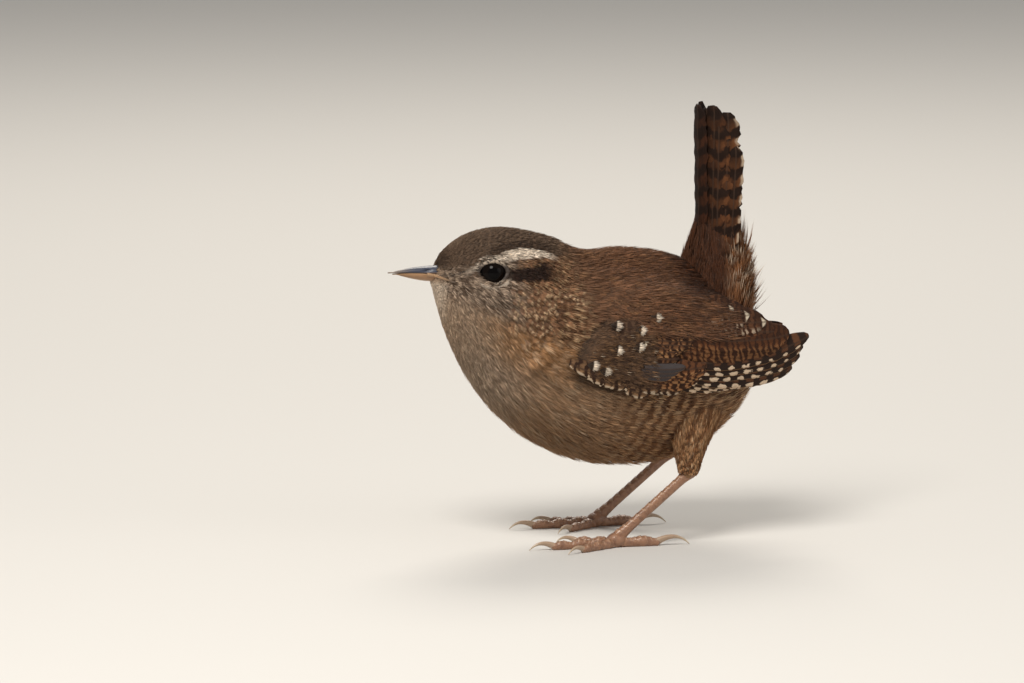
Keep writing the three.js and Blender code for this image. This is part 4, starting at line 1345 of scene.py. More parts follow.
def barred_vane(
    name, base, spacing, share, strength, edge, pale_edge, dark=UMBER, tip_spot=0.0, few=0.25, outer=None
):
    """Brown vane with wavy dark bars, pale notches between them on the outer edge and a pale tip spot.

    Spacing is the distance between bars, share their width as a share of it, pale_edge and tip_spot the
    strength of notches and spots, and few the share of feathers without a spot. A tail has an outer
    colour for its outermost feathers, and its bars line up from feather to feather.
    """
    graph = Graph(name)
    wires = VaneWires(graph)
    back, across, chance, out = wires.back, wires.across, wires.chance, abs(wires.out)
    if outer:
        back_bars = chance * 0.3 - graph.split(graph.object_place())[2] + out * 0.25
        edge_base = graph.paint(base, (wires.kind.ramp(0.5, 3.5), outer))
        base = graph.paint(edge_base, (back.ramp(4.5, 1.0) * 0.8, dark))
    else:
        back_bars = back + chance * 0.8
    phase = (back_bars + wires.wander * 2.2 + out * 0.3) / spacing
    bar = abs(phase.part() - 0.5).ramp(share, share * 0.4)
    blotch = graph.noise(graph.vector(back * 0.35, wires.out, chance * 31.0), 1.3, 2.0).ramp(0.42, 0.66)
    light = abs((phase + 0.5).part() - 0.5).ramp(0.3, 0.12)
    edged = across.ramp(-0.5, -0.85) * pale_edge
    if outer:
        edged = edged * wires.kind.ramp(3.2, 4.6) * across.ramp(-0.6, -0.9)
    spot = back.ramp(1.15, 0.7) * (out - back * 0.7).ramp(0.3, 0.0) * chance.ramp(few, few + 0.05)
    ring = back.ramp(2.6, 1.7) * tip_spot
    colour = graph.paint(
        base,
        (blotch * 0.45, dark),
        # darker towards the shaft: the feather's own dark centre, and painted shadow where the next
        # feather's edge lies over it
        (across.ramp(-0.75, -0.2) * 0.5, dark),
        (bar * strength, dark),
        (light * edged, edge),
        (ring * 0.75, dark),
        (spot * tip_spot, settings()[1].pale),
    )
    return vane_finish(graph, colour, wires)


def primary_vane():
    """Blackish vane with one row of whitish spots along the outer edge."""
    graph = Graph("primary_vane")
    wires = VaneWires(graph)
    back, across, chance = wires.back, wires.across, wires.chance
    wander, grain = wires.wander, wires.grain
    phase = (back + wander * 1.4 + chance * 2.9) / 2.9
    light = abs(phase.part() - 0.5) * 2.9 + (grain - 0.5) * 0.7
    row = abs(across + 0.82) * 2.0 + (grain - 0.5) * 0.35
    size = 0.38 + back.ramp(3.0, 13.0) * 0.13 + wander + (chance * 7.0).sin() * 0.06
    spot = (size - ((light * 0.62) ** 2.0 + (row * 1.25) ** 2.0).root()).ramp(0.0, 0.14)
    inner = light.ramp(0.9, 0.5) * across.ramp(-0.62, -0.4)
    fade = back.ramp(0.4, 1.4)
    colour = graph.paint(
        (0.02, 0.0105, 0.007),
        (inner * 0.7, (0.13, 0.052, 0.023)),
        (spot * (0.55 + grain * 0.6) * fade, (0.66, 0.5, 0.35)),
        (across.ramp(-0.9, -1.0) * 0.35, settings()[1].buff),
    )
    return vane_finish(graph, colour, wires, 0.62)


def alula_vane(side):
    """Stiff grey vane of the thumb, pale along its lower edge."""
    graph = Graph(f"alula_vane_{side}")
    wires = VaneWires(graph)
    edged = wires.across.ramp(-0.85, -1.0) * 0.5
    colour = graph.paint((0.05, 0.042, 0.042), (edged, settings()[1].buff))
    return vane_finish(graph, colour, wires)


def tier_materials():
    """A material for each tier of the wing."""
    buff, pale = settings()[1].buff, settings()[1].pale
    return {
        "primaries": primary_vane(),
        "secondaries": barred_vane("secondary_vane", (0.1, 0.036, 0.0135), 1.25, 0.3, 0.8, buff, 0.2),
        "tertials": barred_vane(
            "tertial_vane", (0.14, 0.058, 0.027), 1.35, 0.3, 0.85, pale, 0.4, tip_spot=0.8, few=0.05
        ),
        "marginal_coverts": barred_vane(
            "marginal_covert_vane", (0.27, 0.15, 0.075), 1.6, 0.4, 0.97, pale, 0.5
        ),
        "primary_coverts": barred_vane(
            "primary_covert_vane", (0.175, 0.067, 0.027), 1.5, 0.3, 0.9, buff, 0.5
        ),
        "greater_coverts": barred_vane(
            "greater_covert_vane", (0.17, 0.075, 0.034), 1.2, 0.32, 0.95, buff, 0.7,
            tip_spot=0.9, few=0.45,
        ),
        "median_coverts": barred_vane(
            "median_covert_vane", (0.12, 0.068, 0.04), 1.4, 0.3, 0.75, buff, 0.3, tip_spot=1.0, few=0.5
        ),
    }


SHOULDER_TUFTS, FRONT_TUFTS, SCAPULAR_TUFTS = 960, 210, 790
# The white drops of the shoulder in the side view
DROPS = ((-1.9, 42.0), (2.6, 40.9), (-2.0, 37.9), (2.1, 38.0), (-6.6, 35.2), (-4.0, 34.3), (5.6, 43.0))


class WREN_OT_wings(bpy.types.Operator):
    """Lay the tiers of wing feathers on both flanks"""

    bl_idname = "wren.wings"
    bl_label = "Wings"

    def execute(self, context):
        rng = draws(1)
        materials = tier_materials()
        coat = coat_material()
        for side in SIDES:
            for name, tier in TIERS.items():
                self.tier(side, name, tier, rng, materials[name])
            self.alula(side, rng)
            self.shoulder(side, rng, coat)
        return {"FINISHED"}

    def tier(self, side, name, tier, rng, material):
        """One row of feathers, each a little different from its place in the row."""
        small = name.endswith("coverts")
        loose = 0.4 if name == "marginal_coverts" else 0.22
        parts = []
        for i, cell in enumerate(cells(tier["count"])):
            share = i / (tier["count"] - 1)
            root, tip = (through(tier[key], share) for key in ("roots", "tips"))
            root = root + rng.normal(0, 0.12, 2)
            tip = tip + rng.normal(0, loose, 2)
            lift = tier["lift"] + tier["rise"] * i
            part = wing_vane(
                side, root, tip, tier["width"], lift, tier["bow"], tier["tilt"], rng=rng, cell=cell,
                blunt=tier["blunt"], rows=16 if small else 30, columns=9 if small else 11,
                camber=0.18 if small else 0.22, kind=i,
            )
            parts.append(part)
        vane_piece(f"wing_{side}_{name}", parts, material, f"wing_{side}")

    def alula(self, side, rng):
        """The three feathers of the thumb."""
        material = alula_vane(side)
        parts = []
        for i, cell in enumerate(cells(3)):
            root, tip = (3.2 + i * 0.5, 33.6 + i * 0.5), (9.4 + i * 1.3, 32.7 + i * 0.8)
            part = wing_vane(
                side, root, tip, 1.7, 2.25 + 0.16 * i, -0.03, -0.1,
                rng=rng, cell=cell, rows=16, columns=9, blunt=0.6,
            )
            parts.append(part)
        vane_piece(f"wing_{side}_alula", parts, material, f"wing_{side}")

    def shoulder(self, side, rng, material):
        """Small coverts of the shoulder, its white drops, and the feathers that lie over its edges."""
        coat = Coat(rng)
        base = {"left": 0.1, "right": 0.55}[side]

        def unwrap(root, seen):
            return np.stack([0.66 + 0.005 * (root[0] + 12), base + 0.012 * (root[1] - 28)], -1)

        n = SHOULDER_TUFTS
        share, along = rng.uniform(0, 1, n), rng.uniform(0.0, 0.56, n)
        low, high = through(SHOULDER_LOWER, along), through(SHOULDER_UPPER, along)
        root = mix(low, high, share[:, None])
        edge = np.minimum(share * 1.6, 1 - share) * 2
        over = 0.5 + 2.5 * np.sqrt(np.clip(edge * 1.6, 0, 1) * np.clip(along * 5 + 0.1, 0, 1))
        coat.add(
            SheetLie(side, 0.12), root.T, rng.uniform(2.3, 3.6, n), 1.5, 0.75 - over, over + 0.35, 8,
            unwrap, kind=SHOULDER_KIND, barb=0.17,
        )
        drops = np.array(DROPS)
        drops = drops + rng.normal(0, 0.15, drops.shape)
        coat.add(
            SheetLie(side, 0.2), drops.T, 2.4, 1.9, -2.9, 3.6, 14, unwrap,
            kind=DROP_KIND, barb=0.34, loose=0.05,
        )
        # feathers of the breast's side lie over the wing's front edge
        n = FRONT_TUFTS
        s, angle = rng.uniform(6.9, 8.3, n), rng.uniform(1.15, 1.95, n)
        coat.add(
            BODY, (s, SIDES[side] * angle), rng.uniform(3.2, 4.6, n), 1.8, 0.9,
            rng.uniform(0.9, 2.0, n), 10, unwrap, barb=0.17,
        )
        # scapulars lie over the upper edge of the wing
        n = SCAPULAR_TUFTS
        s, angle = rng.uniform(7.0, 13.4, n), rng.uniform(0.6, 1.27, n)
        rise = smooth(0.62, 1.0, angle) * smooth(7.4, 10.2, s)
        coat.add(
            BODY, (s, SIDES[side] * angle), rng.uniform(4.5, 6.5, n), 2.0, 1.2 - 4.2 * rise,
            0.3 + 3.4 * rise, 9, unwrap, barb=0.2,
        )
        coat.pieces(f"wing_{side}_lesser_coverts", material, "wing_feathers")


# Tail


def tail_vane(angle, length, width, lift, lean, **more):
    """One upright feather at an angle round the tail's arch, which is open towards the bill."""

    def place(t, out):
        radius = mix(TAIL_ARCH[0], TAIL_ARCH[1], t)
        turn = angle + out / radius
        reach = radius - lift
        fore = reach * np.cos(turn) - (radius - TAIL_ARCH[0])
        x = TAIL_ROOT[0] + TAIL_ARCH[0] - fore + lean * length * t
        point = np.stack([x, reach * np.sin(turn), TAIL_ROOT[1] + length * t], -1)
        normal = np.stack([-np.cos(turn), np.sin(turn), np.zeros_like(turn)], -1)
        return point, normal

    return vane(place, length, width, **more)


WISPS = 110


class WREN_OT_tail(bpy.types.Operator):
    """Stand the twelve tail feathers and their coverts on the rump"""

    bl_idname = "wren.tail"
    bl_label = "Tail"

    def execute(self, context):
        rng = draws(2)
        material = barred_vane(
            "tail_vane", (0.043, 0.0145, 0.006), 3.7, 0.36, 0.95, (0.5, 0.38, 0.27), 0.9,
            dark=(0.011, 0.005, 0.003), outer=(0.12, 0.045, 0.0165),
        )
        places = iter(cells(2 * len(TAIL_LENGTHS)))
        parts = []
        for side in (-1, 1):
            for i, length in enumerate(TAIL_LENGTHS):
                angle = side * (TAIL_FIRST + TAIL_STEP * i) + rng.normal(0, 0.025)
                length = length + rng.normal(0, 0.2)
                width = 5.9 if i < 5 else 4.4
                lift = 0.3 + 0.14 * i + (0.07 if side > 0 else 0)
                part = tail_vane(
                    angle, length, width, lift, rng.normal(-0.004, 0.006), rng=rng, cell=next(places),
                    rows=44, columns=11, blunt=0.88, camber=0.2, shaft=0.2 * side, fray=0.06,
                    ripple=0.05, kind=i, hand=-side,
                )
                parts.append(part)
        vane_piece("tail_feathers", parts, material, "tail", "tail_feathers")
        self.coverts(rng)
        return {"FINISHED"}

    def coverts(self, rng):
        """Loose feathers of the rump that clothe the foot of the tail."""
        tube = rump_tube()
        material = coat_material()
        coat = Coat(rng)
        s, angle = scatter(rng, tube, lambda s, angle: np.full_like(s, 0.9), (0.0, 3.8))
        long = np.interp(s, [0, 4], [6.0, 7.5]) * rng.uniform(0.75, 1.25, len(s))
        behind = smooth(1.5, 2.6, np.abs(angle)) * rng.uniform(0.3, 1.6, len(s))

        def unwrap(root, seen):
            return np.stack([0.74 + 0.05 * root[0] / tube.last, 0.5 + 0.1 * root[1] / math.pi], -1)

        coat.add(tube, (s, angle), long, 2.4, 0.7, 0.4 + 1.1 * behind, 10, unwrap, barb=0.2)
        # wisps that stand off below the tail
        n = WISPS
        s, angle = rng.uniform(0.4, 3.0, n), math.pi + rng.normal(0, 0.55, n)
        coat.add(
            tube, (s, angle), rng.uniform(3.5, 6.5, n), 2.6, 0.3, rng.uniform(1.5, 4.2, n), 9, unwrap,
            barb=0.12, droop=rng.uniform(-0.6, 0.8, n),
        )
        coat.pieces("coat_rump", material, "back_feathers")


# Bill, eyes and lids


def bill_rings(outer_z, shorter, steps=40, around=25):
    """Half-round rings of one half of the bill, from its base to its tip."""
    away = np.sign(outer_z - MOUTH_Z)
    t = np.linspace(0, 1, steps)[:, None] ** 0.9
    a = np.linspace(0, math.pi, around)[None]
    mouth = mix(MOUTH_Z, BILL_TIP[1], t * t) + MOUTH_ARCH * np.sin(math.pi * t) + away * MOUTH_GAP * 0.35
    outer = mix(outer_z, BILL_TIP[1], t ** (2.4 if away > 0 else 1.7))
    half = np.maximum(BILL_HALF_WIDTH * (1 - t) ** 0.75, 0.17)
    tall = np.maximum((outer - mouth) * away, 0.2) * away
    # a keeled ridge along the top, and edges that tuck in
    z = mouth + tall * np.sin(a) ** (0.72 if away > 0 else 0.85)
    y = half * (np.cos(a) * (1 - 0.16 * np.sin(a) ** 3))
    base = BILL_BASE_X + 1.1 + BILL_BASE_SLOPE * (z - MOUTH_Z)
    x = mix(base, BILL_TIP[0] + shorter, t)
    if away > 0:
        x, y, z = nostril(x, y, z)
    return np.stack(np.broadcast_arrays(x, y, z), -1)


def nostril(x, y, z):
    """Presses a slit nostril into each side, under a small flap."""
    dx = (x - (BILL_BASE_X - 1.0)) / 0.85
    dz = (z - (CULMEN_Z - 0.72) - 0.06 * (x - BILL_BASE_X)) / 0.24
    dent = np.exp(-(dx**2) * 1.4 - dz**2 * 1.2)
    flap = np.exp(-(dx**2) * 1.2 - (dz - 1.7) ** 2)
    return x, y * (1 - 0.34 * dent + 0.07 * flap), z


def bill_material(name, base, tip, edge):
    """Horn, paler towards the tip and along the mouth's edge."""
    graph = Graph(name)
    x, y, z = graph.split(graph.object_place())
    streaks = graph.noise(graph.vector(x * 0.35, y * 2.0, z * 2.0), 1.6, 3.0)
    colour = graph.paint(
        base,
        (x.ramp(-35.0, -40.0), tip),
        (abs(z - MOUTH_Z - 0.1).ramp(0.5, 0.1) * 0.6, edge),
        (streaks.ramp(0.45, 0.75) * 0.25, (0.02, 0.017, 0.016)),
    )
    return graph.finish(
        colour, 0.3 + streaks * 0.16, streaks, 0.25, 0.0001,
        Coat_Weight=0.08, Coat_Roughness=0.3, Specular_IOR_Level=0.3,
    )


def lid_material():
    """Dark mottled skin with a broken pale rim."""
    graph = Graph("lid_skin")
    place = graph.object_place()
    _, _, z = graph.split(place)
    mottle = graph.noise(place, 2.2, 2.0)
    pale = abs(z - EYE[2]).ramp(1.0, 1.8) * mottle.ramp(0.4, 0.5)
    colour = graph.paint((0.05, 0.035, 0.027), (pale * 0.6, (0.5, 0.4, 0.3)))
    return graph.finish(colour, 0.6, mottle, 0.5, 0.0002)


def eye_axes(sign):
    """The way one eye looks, and the level direction across it."""
    axis = np.array([-math.sin(EYE_TURN), sign * math.cos(EYE_TURN), 0.0])
    return axis, np.array([axis[1], -axis[0], 0.0])


def gape_material():
    """Yellowish skin, with painted shade where it runs back under the feathers."""
    graph = Graph("gape_skin")
    x = graph.split(graph.object_place())[0]
    # painted shade towards the rear, under the feathers
    colour = graph.paint((0.36, 0.22, 0.12), (x.ramp(-31.4, -29.4), (0.1, 0.065, 0.042)))
    return graph.finish(colour, 0.5)


def eye_material(side, sign):
    """Almost black, with a faint brown iris round the pupil under a clear front."""
    graph = Graph(f"eye_{side}")
    x, y, z = graph.split(graph.object_place())
    axis = [float(v) for v in eye_axes(sign)[0]]
    dx, dy, dz = x - EYE[0], y - sign * EYE[1], z - EYE[2]
    forward = dx * axis[0] + dy * axis[1]
    off = ((dx - forward * axis[0]) ** 2.0 + (dy - forward * axis[1]) ** 2.0 + dz**2.0).root()
    rays = graph.noise(graph.vector(dx * 3.0, dy * 0.5, dz * 3.0), 1.8, 2.0)
    iris = off.band(1.55, 0.3, 0.25) * (0.35 + rays * 0.4)
    colour = graph.paint((0.002, 0.0015, 0.0015), (iris, (0.007, 0.004, 0.0025)))
    return graph.finish(colour, 0.06, Coat_Weight=0.16, Coat_Roughness=0.05, Specular_IOR_Level=0.0)


BRISTLES, BRISTLE_RADIUS = 9, 0.055
GAPE_LINE = ((-33.2, 51.3), (-31.6, 51.0), (-30.2, 50.6), (-29.0, 50.2))
EYE_OPENING = (2.45, 2.1)  # half length and half height


def bristle_tree():
    """Geometry nodes that turn each line of edges into a round hair that thins to its tip."""
    tree = Tree(bpy.data.node_groups.new("bristles", "GeometryNodeTree"))
    ports = tree.tree.interface
    for name, kind in (
        ("Lines", "NodeSocketGeometry"), ("Radius", "NodeSocketFloat"), ("Sides", "NodeSocketInt"),
        ("Material", "NodeSocketMaterial"),
    ):
        ports.new_socket(name, in_out="INPUT", socket_type=kind)
    ports.new_socket("Hairs", in_out="OUTPUT", socket_type="NodeSocketGeometry")
    given = tree.tree.nodes.new("NodeGroupInput")
    lines, radius, sides, material = (Wire(tree, given.outputs[k]) for k in range(4))
    share = tree.node("GeometryNodeInputNamedAttribute", {"data_type": "FLOAT"}, {"Name": "share"})
    curve = tree.node("GeometryNodeMeshToCurve", inputs={"Mesh": lines})
    ring = tree.node("GeometryNodeCurvePrimitiveCircle", inputs={"Resolution": sides, "Radius": 1.0})
    thin = (share * -1.0 + 1.05) * radius
    swept = {"Curve": curve, "Profile Curve": ring, "Scale": thin, "Fill Caps": True}
    hair = tree.node("GeometryNodeCurveToMesh", inputs=swept)
    hair = tree.node("GeometryNodeSetMaterial", inputs={"Geometry": hair, "Material": material})
    hair = tree.node("GeometryNodeRealizeInstances", inputs={"Geometry": hair})
    tree.put(tree.tree.nodes.new("NodeGroupOutput").inputs[0], hair)
    return tree.tree


def bristles(name, paths, material):
    """Hairs along paths, an array of shape (hairs, places, 3) in the bird's millimetres."""
    count, steps = paths.shape[:2]
    mesh = bpy.data.meshes.new(name)
    ends = [(h * steps + k, h * steps + k + 1) for h in range(count) for k in range(steps - 1)]
    mesh.from_pydata(((paths.reshape(-1, 3) + SHIFT) * MM).tolist(), ends, [])
    share = np.tile(np.linspace(0, 1, steps), count).astype(np.float32)
    mesh.attributes.new("share", "FLOAT", "POINT").data.foreach_set("value", share)
    obj = bpy.data.objects.new(name, mesh)
    bpy.context.scene.collection.objects.link(obj)
    modifier = obj.modifiers.new("bristles", "NODES")
    modifier.node_group = bristle_tree()
    values = {"Radius": BRISTLE_RADIUS * MM, "Sides": 5, "Material": material}
    for item in modifier.node_group.interface.items_tree:
        if item.name in values:
            modifier[item.identifier] = values[item.name]
    solid = bpy.data.meshes.new_from_object(obj.evaluated_get(bpy.context.evaluated_depsgraph_get()))
    obj.modifiers.remove(modifier)
    obj.data = solid
    obj.data.name = name
    return obj


class WREN_OT_face(bpy.types.Operator):
    """Make the bill, the eyes and their lids"""

    bl_idname = "wren.face"
    bl_label = "Bill, eyes and lids"

    def execute(self, context):
        colours = settings()[1]
        # the upper bill's blue tint is a painted reflection of the sky on dark horn
        upper = bill_material("bill_upper", colours.bill_upper, (0.12, 0.085, 0.06), (0.26, 0.16, 0.09))
        lower = bill_material("bill_lower", colours.bill_lower, (0.24, 0.14, 0.075), (0.34, 0.19, 0.09))
        for name, node, outer, shorter, material in (
            ("upper_bill", "bill_upper", CULMEN_Z, 0.0, upper),
            ("lower_bill", "bill_lower", CHIN_Z, BILL_LOWER_SHORTER, lower),
        ):
            points, faces = tube_mesh(bill_rings(outer, shorter))
            place_piece(new_mesh(name, points, faces, material), name, node)
        lids, gape = lid_material(), gape_material()
        for side, sign in SIDES.items():
            self.gape(side, sign, gape)
            self.eye(side, sign)
            self.lids(side, sign, lids)
        return {"FINISHED"}

    def gape(self, side, sign, material):
        """The soft edge of the mouth that runs back under the lore, and the bristles over it."""
        steps = 30
        share = np.linspace(0, 1, steps)
        line = through(GAPE_LINE, share)
        out = np.maximum(SHEET.flank(line[:, 0], line[:, 1]), 1.35)
        path = np.stack([line[:, 0], sign * (out - 0.16), line[:, 1]], -1)
        size = (0.3 - 0.16 * share)[:, None]
        points, faces = tube_mesh(tube_along(path, size * 1.15, size, 12))
        place_piece(new_mesh(f"gape_{side}", points, faces, material), "lower_bill")
        bristle = Graph(f"bristle_{side}").finish((0.03, 0.02, 0.015), 0.5)
        rng = draws(3)
        t = np.linspace(0, 1, 9)[:, None]
        droop = np.array([[0, -sign * 0.2, -0.45]]) * t**2
        hairs = []
        for k in range(BRISTLES):
            x, z = -30.6 + 0.42 * k + rng.normal(0, 0.12), 51.6 + 0.1 * k + rng.normal(0, 0.2)
            y = float(SHEET.flank(np.array([x]), np.array([z]))[0])
            lean = np.array([[-1.5 - 0.3 * rng.uniform(), sign * 0.3, -0.3 + 0.2 * rng.normal()]])
            hairs.append(np.array([[x, sign * (y - 0.15), z]]) + lean * t + droop)
        place_piece(bristles(f"bristles_{side}", np.array(hairs), bristle), "crown_feathers")

    def eye(self, side, sign):
        """The eyeball."""
        around, down = 64, 40
        polar = np.linspace(0.03, math.pi - 0.03, down)[:, None]
        turn = turns(around)[None]
        level = np.sin(polar)
        local = np.stack(
            np.broadcast_arrays(level * np.cos(turn), level * np.sin(turn), np.cos(polar)), -1
        )
        # the clear front bulges a little past the ball
        front = smooth(0.72, 1.0, local[..., 2])[..., None]
        local = local * (1 + 0.035 * front) * EYE_RADIUS
        axis, aside = eye_axes(sign)
        centre = EYE * [1, sign, 1]
        place = centre + local[..., :1] * aside + local[..., 1:2] * UP + local[..., 2:] * axis
        points, faces = tube_mesh(place)
        ball = new_mesh(f"eyeball_{side}", points, faces, eye_material(side, sign))
        place_piece(ball, "eyes", f"eye_{side}")

    def lids(self, side, sign, material):
        """An almond rim of small folds that hugs the eyeball."""
        around, ring = 96, 14
        a = turns(around)[:, None]
        b = turns(ring)[None]
        long, high = EYE_OPENING
        tube = 0.42 * (1 + 0.08 * np.sin(a * 17) + 0.05 * np.sin(a * 31 + 1))
        point = 1 + 0.12 * np.cos(a) ** 8  # the corners are drawn out
        x = np.cos(a) * (long * point + tube * np.cos(b))
        y = np.sin(a) * (high + tube * np.cos(b))
        within = EYE_RADIUS**2 - (np.cos(a) * long) ** 2 - (np.sin(a) * high) ** 2
        flat = np.sqrt(np.maximum(within, 0.3))
        z = flat - 0.05 + tube * np.sin(b)
        axis, aside = eye_axes(sign)
        centre = EYE * [1, sign, 1]
        place = centre + x[..., None] * aside + y[..., None] * UP + z[..., None] * axis
        i, j = np.meshgrid(np.arange(around), np.arange(ring), indexing="ij")
        p, q = i * ring + j, ((i + 1) % around) * ring + j
        r, s = ((i + 1) % around) * ring + (j + 1) % ring, i * ring + (j + 1) % ring
        faces = np.concatenate([np.stack(face, -1).reshape(-1, 3) for face in ((p, q, r), (p, r, s))])
        points = place.reshape(-1, 3)
        corners = [points[faces[:, k]] - centre for k in range(3)]
        if np.einsum("ij,ij->i", corners[0], np.cross(corners[1], corners[2])).sum() < 0:
            faces = faces[:, ::-1]
        place_piece(new_mesh(f"eyelids_{side}", points, faces, material), "crown_feathers")


# Legs, toes and claws


def tube_along(path, up_size, side_size, around, floor=None):
    """Rings across a path; sizes are arrays (rings, around or 1)."""
    ahead = unit(np.gradient(path, axis=0))
    side = unit(np.cross(ahead, UP))
    up = np.cross(side, ahead)
    a = turns(around)[None]
    rings = path[:, None] + up[:, None] * (up_size * np.cos(a))[..., None]
    rings = rings + side[:, None] * (side_size * np.sin(a))[..., None]
    if floor is not None:
        rings[..., 2] = np.maximum(rings[..., 2], floor)
    return rings


def toe_direction(toe, side):
    """Level direction of a toe, turned from straight ahead."""
    return np.array([-math.cos(toe["turn"]), SIDES[side] * math.sin(toe["turn"]), 0.0])


def leg_material():
    """Brown scaled skin: each scute is pale in the middle and dark at its lower edge."""
    graph = Graph("leg_skin")
    place = graph.object_place()
    mottle = graph.noise(place, 1.1, 3.0)
    grain = graph.noise(place, 5.0, 2.0)
    scute = graph.number("scute")
    colour = graph.paint(
        settings()[1].leg,
        (mottle.ramp(0.4, 0.7) * 0.7, (0.15, 0.068, 0.038)),
        (scute.band(0.68, 0.04, 0.14) * 0.5, (0.5, 0.33, 0.22)),
        (scute.ramp(0.84, 0.97) * 0.9, (0.06, 0.028, 0.018)),
        (grain.ramp(0.55, 0.75) * 0.35, (0.45, 0.3, 0.2)),
    )
    relief = grain * 0.5 - scute.ramp(0.8, 1.0)
    return graph.finish(colour, 0.3 + grain * 0.25, relief, 0.8, 0.00035, Coat_Weight=0.25)


def claw_material():
    """Brown horn, paler towards the point."""
    graph = Graph("claw_horn")
    place = graph.object_place()
    streaks = graph.noise(place, 2.4, 2.0)
    tip = graph.number("scute")
    colour = graph.paint(
        settings()[1].claw,
        (tip.ramp(0.4, 1.0), (0.5, 0.4, 0.28)),
        (streaks.ramp(0.5, 0.8) * 0.4, (0.2, 0.12, 0.08)),
    )
    return graph.finish(colour, 0.3 + streaks * 0.15, streaks, 0.2, 0.0001, Coat_Weight=0.2)


# Distances between the scutes and between the pads
SHANK_SCUTE, TOE_SCUTE, TOE_PAD = 1.55, 0.95, 1.3


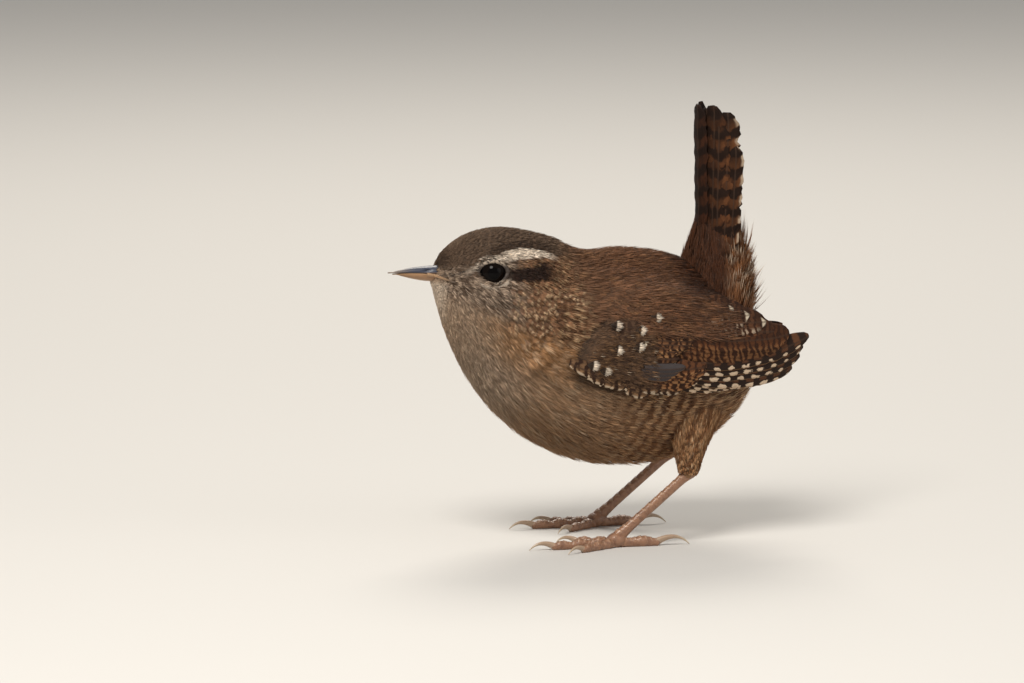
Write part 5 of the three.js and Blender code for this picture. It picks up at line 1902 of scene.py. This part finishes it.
class WREN_OT_legs(bpy.types.Operator):
    """Make the scaled shanks, toes and claws"""

    bl_idname = "wren.legs"
    bl_label = "Legs and claws"

    def execute(self, context):
        skin, horn = leg_material(), claw_material()
        for side in SIDES:
            self.shank(side, skin)
            self.foot(side, skin)
            self.claws(side, horn)
        return {"FINISHED"}

    def ends(self, side):
        """Places of the ball of the foot and the ankle."""
        foot, sign = FEET[side], SIDES[side]
        (x, out), (back, aside, high) = foot["ball"], foot["ankle"]
        return np.array([x, sign * out, BALL_Z]), np.array([back, sign * aside, high])

    def shank(self, side, material):
        """The bare shank with overlapping scutes down its front."""
        ball, ankle = self.ends(side)
        t = np.linspace(0.02, 1.07, 150)[:, None]
        path = ball + (ankle - ball) * t
        length = np.linalg.norm(ankle - ball)
        along = t * length
        swell = 1 + 0.35 * np.exp(-((along / 2.6) ** 2))
        swell = swell + 0.42 * np.exp(-(((along - length) / 1.5) ** 2))
        around = 28
        a = turns(around)[None]
        front = np.clip(np.cos(a), 0, 1) ** 0.5  # the scutes lie on the front of the shank
        step = (along / SHANK_SCUTE) % 1.0
        scute = 0.13 * step * front
        groove = 0.06 * np.exp(-(((np.abs(a - math.pi) - 1.45) / 0.2) ** 2))
        size = swell * (1 + scute - groove)
        rings = tube_along(path, 0.90 * size, 0.74 * size, around)
        points, faces = tube_mesh(rings)
        mark = np.append((step * np.ones((1, around)) * front).ravel(), [0, 0])
        piece = new_mesh(f"shank_{side}", points, faces, material, floats={"scute": mark})
        place_piece(piece, "leg_skin", f"tarsus_{side}")

    def foot(self, side, material):
        """Four scaled toes and the ball between them, flat below where they stand."""
        ball, _ = self.ends(side)
        parts = []
        for toe in TOES.values():
            direction = toe_direction(toe, side)
            rings, around = 96, 24
            t = np.linspace(-0.06, 1.0, rings)[:, None]
            a = turns(around)[None]
            joints = 1 + 0.13 * np.cos(2 * math.pi * t * (toe["joints"] - 0.5) + 0.3)
            radius = toe["radius"] * mix(1.15, 0.82, t) * joints * np.clip((1.03 - t) * 14, 0, 1) ** 0.35
            path = np.array([ball[0], ball[1], 0.0]) + direction * toe["length"] * t
            path[:, 2] = radius[:, 0] * 0.86
            above = np.clip(np.cos(a), 0, 1) ** 0.6
            below = np.clip(-np.cos(a), 0, 1)
            step = (t * toe["length"] / TOE_SCUTE) % 1.0
            pads = 0.07 * np.cos(2 * math.pi * t * toe["length"] / TOE_PAD) * below
            size = radius * (1.02 + 0.17 * step * above + pads)
            shape = tube_along(path, size, size * 0.93, around, 0.0)
            points, faces = tube_mesh(shape)
            mark = np.append((step * np.ones((1, around)) * above).ravel(), [0, 0])[:, None]
            parts.append((points, faces, mark))
        parts.append(self.ball(ball))
        points, faces, mark = joined(parts)
        piece = new_mesh(f"toes_{side}", points, faces, material, floats={"scute": mark[:, 0]})
        place_piece(piece, "leg_skin", f"foot_{side}")

    def ball(self, ball):
        """The pad under the root of the toes."""
        t = np.linspace(-1, 1, 21)[:, None]
        size = 1.5 * np.sqrt(np.maximum(1 - t**2, 0.003))
        path = np.array([ball[0], ball[1], 0.0]) + np.array([1.75, 0, 0]) * t
        path[:, 2] = size[:, 0] * 0.85
        points, faces = tube_mesh(tube_along(path, size, size, 24, 0.0))
        return points, faces, np.zeros((len(points), 1))

    def claws(self, side, material):
        """Curved claws with a groove along each side."""
        ball, _ = self.ends(side)
        for name, toe in TOES.items():
            direction = toe_direction(toe, side)
            thick = toe["radius"] * 0.76
            base = np.array([ball[0], ball[1], toe["radius"] * 0.74]) + direction * (toe["length"] - 0.5)
            reach = toe["claw"] * 0.9 + 0.75
            knee = base + direction * reach * 0.62
            knee[2] = base[2] + toe["claw"] * 0.34
            tip = base + direction * reach
            tip[2] = 0.12
            t = np.linspace(0, 1, 40)[:, None]
            path = base * (1 - t) ** 2 + knee * 2 * t * (1 - t) + tip * t**2
            size = mix(thick, 0.07, t**0.85)
            around = 20
            a = turns(around)[None]
            keel = 1 - 0.14 * np.exp(-(((np.abs(a - math.pi) - 1.2) / 0.3) ** 2))
            points, faces = tube_mesh(tube_along(path, size * keel, size * 0.78 * keel, around, 0.03))
            mark = np.append((t * np.ones((1, around))).ravel(), [0, 1])
            piece = new_mesh(f"claw_{side}_{name}_horn", points, faces, material, floats={"scute": mark})
            place_piece(piece, "claw_horn", f"claw_{side}_{name}")


class WREN_PT_panel(bpy.types.Panel):
    """The bird's settings and pieces"""

    bl_idname = "WREN_PT_panel"
    bl_label = "Wren"
    bl_space_type = "VIEW_3D"
    bl_region_type = "UI"
    bl_category = "Wren"

    def draw(self, context):
        for group in settings():
            box = self.layout.box()
            for key in group.__annotations__:
                box.prop(group, key)
        for operator in OPERATORS:
            self.layout.operator(operator.bl_idname)


OPERATORS = (
    WREN_OT_stage, WREN_OT_skin, WREN_OT_coat, WREN_OT_wings, WREN_OT_tail, WREN_OT_face, WREN_OT_legs
)
GROUPS = {"wren_plumage": WrenPlumage, "wren_colours": WrenColours, "wren_stage": WrenStage}
CLASSES = (*GROUPS.values(), *OPERATORS, WREN_PT_panel)


def register():
    for item in CLASSES:
        bpy.utils.register_class(item)
    for name, group in GROUPS.items():
        setattr(bpy.types.Scene, name, PointerProperty(type=group))


def unregister():
    for name in GROUPS:
        delattr(bpy.types.Scene, name)
    for item in reversed(CLASSES):
        bpy.utils.unregister_class(item)


def main():
    """Make the bird."""
    register()
    bpy.ops.wren.stage()
    bpy.ops.wren.skin()
    bpy.ops.wren.coat()
    bpy.ops.wren.wings()
    bpy.ops.wren.tail()
    bpy.ops.wren.face()
    bpy.ops.wren.legs()


if __name__ == "__main__":
    main()
